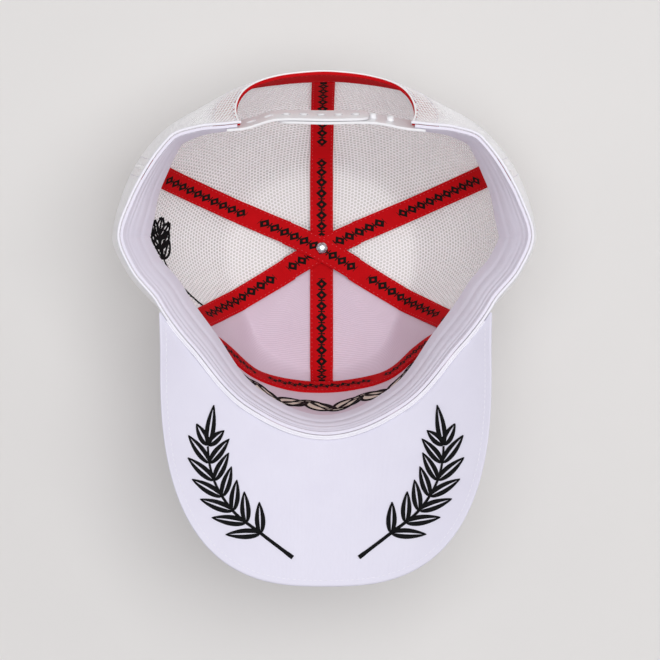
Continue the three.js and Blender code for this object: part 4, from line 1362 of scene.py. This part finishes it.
def addMotif(name, strokes, centreBearing, ringAt, faces, lift, material):
    # u runs round the crown and v up towards the rim, in millimetres; every stroke shows on both sides
    paths = []
    outside, inside = faces[0] - lift, faces[1] + lift
    middleRing = float(ringAt(centreBearing))
    for flat, widths, height in strokes:
        bearings = centreBearing + degreesFor(flat[:, 0], centreBearing, middleRing)
        base = ringAt(bearings)
        rings = base - ringsFor(flat[:, 1], bearings, base)
        normals = outwardAt(bearings, rings)
        paths.append(strokeAlong(wallPoint(bearings, rings, outside), normals, widths, height))
        within = wallPoint(bearings, rings, inside)
        paths.append(strokeAlong(within, -normals, widths, backShare * height))
    addPiece(name, sweepMesh(name, paths), [material])


def leftOf(line):
    heading = tangents(line)
    return np.stack([-heading[:, 1], heading[:, 0]], axis=1)


leafSteps = 21


def leafLine(start, angles, length, width):
    # spine of a bending leaf and its width along it
    turns = np.stack([np.cos(angles), np.sin(angles)], axis=1)
    spine = np.array(start) + np.cumsum(turns, axis=0) * length / (leafSteps - 1)
    t = np.linspace(0.02, 0.98, leafSteps)
    return spine, width * np.sin(np.pi * t) ** 0.75


def leafOutline(spine, width, thread, rise):
    # both edges and the midrib
    edges = [spine + leftOf(spine) * side * width[:, None] / 2 for side in (-1, 0, 1)]
    return [(edge, thread * np.ones(leafSteps), rise) for edge in edges]


# Vine scroll on the front: a waving stem with a leaf in each bend, outlined in black

vine = {
    "reach": 62, "wave": 9, "length": 31, "leaf": 21, "leafWidth": 12, "ring": 0.99, "follow": 0.465,
    "stem": 2.0, "outline": 1.9, "fillRise": 0.5, "stemRise": 0.7, "leafRise": 0.75,
    "fillLift": 0.05, "outlineLift": 0.1,
}


def vineStrokes():
    fill, outline = [], []
    u = np.linspace(-vine["reach"], vine["reach"], 141)
    stem = np.stack([u, vine["wave"] * np.sin(2 * np.pi * u / vine["length"])], axis=1)
    fill.append((stem, vine["stem"] * np.ones(len(u)), vine["fillRise"]))
    for side in (-1, 1):
        edge = leftOf(stem) * side * (vine["stem"] + vine["outline"]) / 2
        outline.append((stem + edge, vine["outline"] * np.ones(len(u)), vine["stemRise"]))
    for leaf in range(int(4 * vine["reach"] / vine["length"])):
        start = -vine["reach"] + (leaf + 0.5) * vine["length"] / 2
        height = vine["wave"] * math.sin(2 * math.pi * start / vine["length"])
        up = -1 if math.cos(2 * math.pi * (start + 4) / vine["length"]) < 0 else 1
        angles = up * np.linspace(1.3, 0.3, leafSteps)
        spine, width = leafLine((start, height), angles, vine["leaf"], vine["leafWidth"])
        fill.append((spine, width, vine["fillRise"]))
        outline += leafOutline(spine, width, vine["outline"], vine["leafRise"])
    return fill, outline


def vineRing(bearing):
    return vine["ring"] + vine["follow"] * (frontSeamRing(bearing) - bellyRing)


vineFill, vineOutline = vineStrokes()
addMotif("frontVineFill", vineFill, 0.0, vineRing, clothFaces, vine["fillLift"], beigeRayon)
addMotif("frontVineOutline", vineOutline, 0.0, vineRing, clothFaces, vine["outlineLift"], blackRayon)

# Plain leafy sprig with a long stem on the left net

sprig = {
    "bearing": -88.0, "ring": 2.45, "tip": -12, "head": 8, "end": 46, "leaf": 11, "leafWidth": 5,
    "pairs": 3, "stem": 1.2, "stemRise": 0.5, "outline": 1.4, "leafRise": 0.55, "fall": 9.5,
    "lift": 0.05, "tipShare": 0.8,
}


def sprigStrokes():
    t = np.linspace(0, 1, 41)
    u = sprig["tip"] + sprig["head"] + t * (sprig["end"] - sprig["tip"] - sprig["head"])
    stem = np.stack([u, 2 - sprig["fall"] * t ** 1.5], axis=1)
    strokes = [(stem, sprig["stem"] * (0.8 + 0.4 * t), sprig["stemRise"])]
    straight = np.full(leafSteps, math.pi)
    leaves = [leafLine(stem[0], straight, sprig["leaf"] * sprig["tipShare"], sprig["leafWidth"])]
    for pair in range(sprig["pairs"]):
        for side in (-1, 1):
            angles = math.pi + side * np.linspace(0.8, 0.3, leafSteps)
            leaves.append(leafLine(stem[2 + 4 * pair], angles, sprig["leaf"], sprig["leafWidth"]))
    for spine, width in leaves:
        strokes += leafOutline(spine, width, sprig["outline"], sprig["leafRise"])
    return strokes


def sprigRing(bearing):
    return np.full(np.shape(bearing), sprig["ring"])


addMotif(
    "sideSprigThread", sprigStrokes(), sprig["bearing"], sprigRing, netFaces, sprig["lift"], blackRayon)
print("embroidery done")


# Stitches: one short spindle of thread after another along each sewn line

stitches = {
    "white": {"spacing": 2.7, "length": 2.1, "radius": 0.2, "material": whiteSewing, "slot": "cloth"},
    "red": {"spacing": 2.6, "length": 0.9, "radius": 0.17, "material": redSewing, "slot": "tape"},
}


def stitchTree():
    tree, start = startTree("stitchRow", ("Stitch Spacing", "Stitch Length", "Thread Radius"))
    curve = addNode(tree, "GeometryNodeMeshToCurve", {"Mesh": start.outputs["Geometry"]})
    row = addNode(tree, "GeometryNodeCurveToPoints", {
        "Curve": curve.outputs[0], "Length": start.outputs["Stitch Spacing"]}, mode="LENGTH")
    turn = addNode(tree, "FunctionNodeAlignRotationToVector", {
        "Vector": row.outputs["Tangent"]}, axis="Z")
    half = addNode(tree, "ShaderNodeMath", {
        0: start.outputs["Stitch Length"], 1: 0.5}, operation="MULTIPLY")
    size = addNode(tree, "ShaderNodeCombineXYZ", {
        "X": start.outputs["Thread Radius"], "Y": start.outputs["Thread Radius"], "Z": half.outputs[0]})
    spindle = addNode(tree, "GeometryNodeMeshUVSphere", {"Segments": 6, "Rings": 4, "Radius": 1.0})
    laid = addNode(tree, "GeometryNodeInstanceOnPoints", {
        "Points": row.outputs["Points"], "Instance": spindle.outputs["Mesh"],
        "Rotation": turn.outputs[0], "Scale": size.outputs[0]})
    return endTree(tree, start, laid.outputs[0])


def addOutsideLine(bearing, ring, depth):
    line = wallPoint(bearing, ring, depth)
    lowest = stitches["white"]["radius"] + sewing["floorLift"]
    line[:, 2] = np.maximum(line[:, 2], lowest)  # pressed in where the hat rests
    stitchLines["white"].append(line)


def seamLines():
    # topstitching on the outside, either side of each seam
    offset = tape["width"] / 2 * sewing["edgeShare"]
    lastRing = dimpleRing + sewing["past"]
    onNet, onCloth = net["depth"] - sewing["netLift"], -sewing["clothLift"]
    for bearing in (frontSeam, rearSeam):
        ring = np.linspace(sewing["start"], lastRing, 160)
        for side in (-1, 1):
            at = bearing + degreesFor(side * offset, bearing, ring)
            clothSide = bearing == frontSeam and side < 0
            for mirror in (-1, 1):
                addOutsideLine(mirror * at, ring, onCloth if clothSide else onNet)
    backRing = np.linspace(archTopRing + sewing["archPast"], lastRing, 90)
    frontRing = np.linspace(crown["seamCrest"] + sewing["past"], lastRing, 60)
    for centre, ring, depth in ((180, backRing, onNet), (0, frontRing, onCloth)):
        for side in (-1, 1):
            addOutsideLine(centre + degreesFor(side * offset, centre, ring), ring, depth)
    for rise in (-1, 1):
        bearing = np.linspace(-sewing["reach"], sewing["reach"], 120) * frontSeam
        ring = frontSeamRing(bearing)
        addOutsideLine(bearing, ring + ringsFor(rise * offset, bearing, ring), onCloth)


def archLines():
    # two rows hold the binding to the net
    right = rightOf(bindingBearings, bindingRings)
    for inward in (sewing["archInset"], tape["width"] - sewing["archInset"]):
        at, on = walkOn(bindingBearings, bindingRings, -right * inward)
        addOutsideLine(at, on, net["depth"] - sewing["netLift"])


def brimLines():
    shares = np.linspace(-sewing["reach"], sewing["reach"], 200)
    edge = brimEdge(shares)
    place = edge + leftOf(edge) * sewing["brimInset"]
    for lift in (-sewing["brimSink"], -brim["wall"] + sewing["brimSink"]):
        up = brimUp(place[:, 0], place[:, 1]) + lift
        stitchLines["white"].append(np.concatenate([place, up[:, None]], axis=1))


def bandLines():
    bearing = np.linspace(-sewing["bandEnd"], sewing["bandEnd"], 300)
    inset = crown["wall"] + band["gap"] + band["wall"] + sewing["bandLift"]
    line = insideRim(bearing, inset)
    line[:, 2] -= sewing["bandDrop"]
    stitchLines["white"].append(line)


seamLines()
brimLines()
bandLines()
archLines()
stitchRow = stitchTree()
for colour, stitch in stitches.items():
    points, edges, start = [], [], 0
    for line in stitchLines[colour]:
        points.append(line)
        edges += [(start + i, start + i + 1) for i in range(len(line) - 1)]
        start += len(line)
    mesh = bpy.data.meshes.new(colour + "StitchLines")
    mesh.from_pydata(((np.concatenate(points) + hatShift) / 1000).tolist(), edges, [])
    made = makeByNodes(colour + "Stitches", mesh, stitchRow, {
        "Stitch Spacing": stitch["spacing"] / 1000, "Stitch Length": stitch["length"] / 1000,
        "Thread Radius": stitch["radius"] / 1000, "Material": stitch["material"]})
    print(colour, "stitches", len(made.polygons), "faces")
    addPiece(colour + "Stitches", made, [])


# Floor and light

studio = {
    "floor": "#dcdad8", "grain": "#dfdddb", "floorSize": 6.0, "world": "#f2f1f4", "worldStrength": 0.5,
    # name, place, size, power
    "lights": (
        ("key", (0.18, 0.12, 1.9), 1.3, 22), ("fill", (1.2, 0.6, 1.3), 0.8, 2),
        ("soft", (-1.2, 0.4, 1.4), 0.8, 1.5),
    ),
}


def addLight(name, place, size, power):
    lamp = bpy.data.lights.new(name, "AREA")
    lamp.size = size
    lamp.energy = power
    holder = addObject(name, lamp)
    holder.location = place
    holder.rotation_euler = (-Vector(place)).to_track_quat("-Z", "Y").to_euler()


def floorMaterial():
    # Matt painted board: even and pale, with barely any grain
    material, tree, shader = startMaterial("paintedBoard", studio["floor"], 0.85)
    addMottle(tree, shader, studio["floor"], studio["grain"], 120)
    return material


half = studio["floorSize"] / 2
floorMesh = bpy.data.meshes.new("floor")
corners = [(x * half, y * half, 0) for x, y in ((-1, -1), (1, -1), (1, 1), (-1, 1))]
floorMesh.from_pydata(corners, [], [(0, 1, 2, 3)])
floorMesh.materials.append(floorMaterial())
addObject("floor", floorMesh)
for light in studio["lights"]:
    addLight(*light)
world = bpy.data.worlds.new("studio")
bpy.context.scene.world = world
world.use_nodes = True
background = world.node_tree.nodes["Background"]
background.inputs["Color"].default_value = linear(studio["world"])
background.inputs["Strength"].default_value = studio["worldStrength"]
bpy.context.scene.view_settings.view_transform = "Standard"
print("floor and light done")
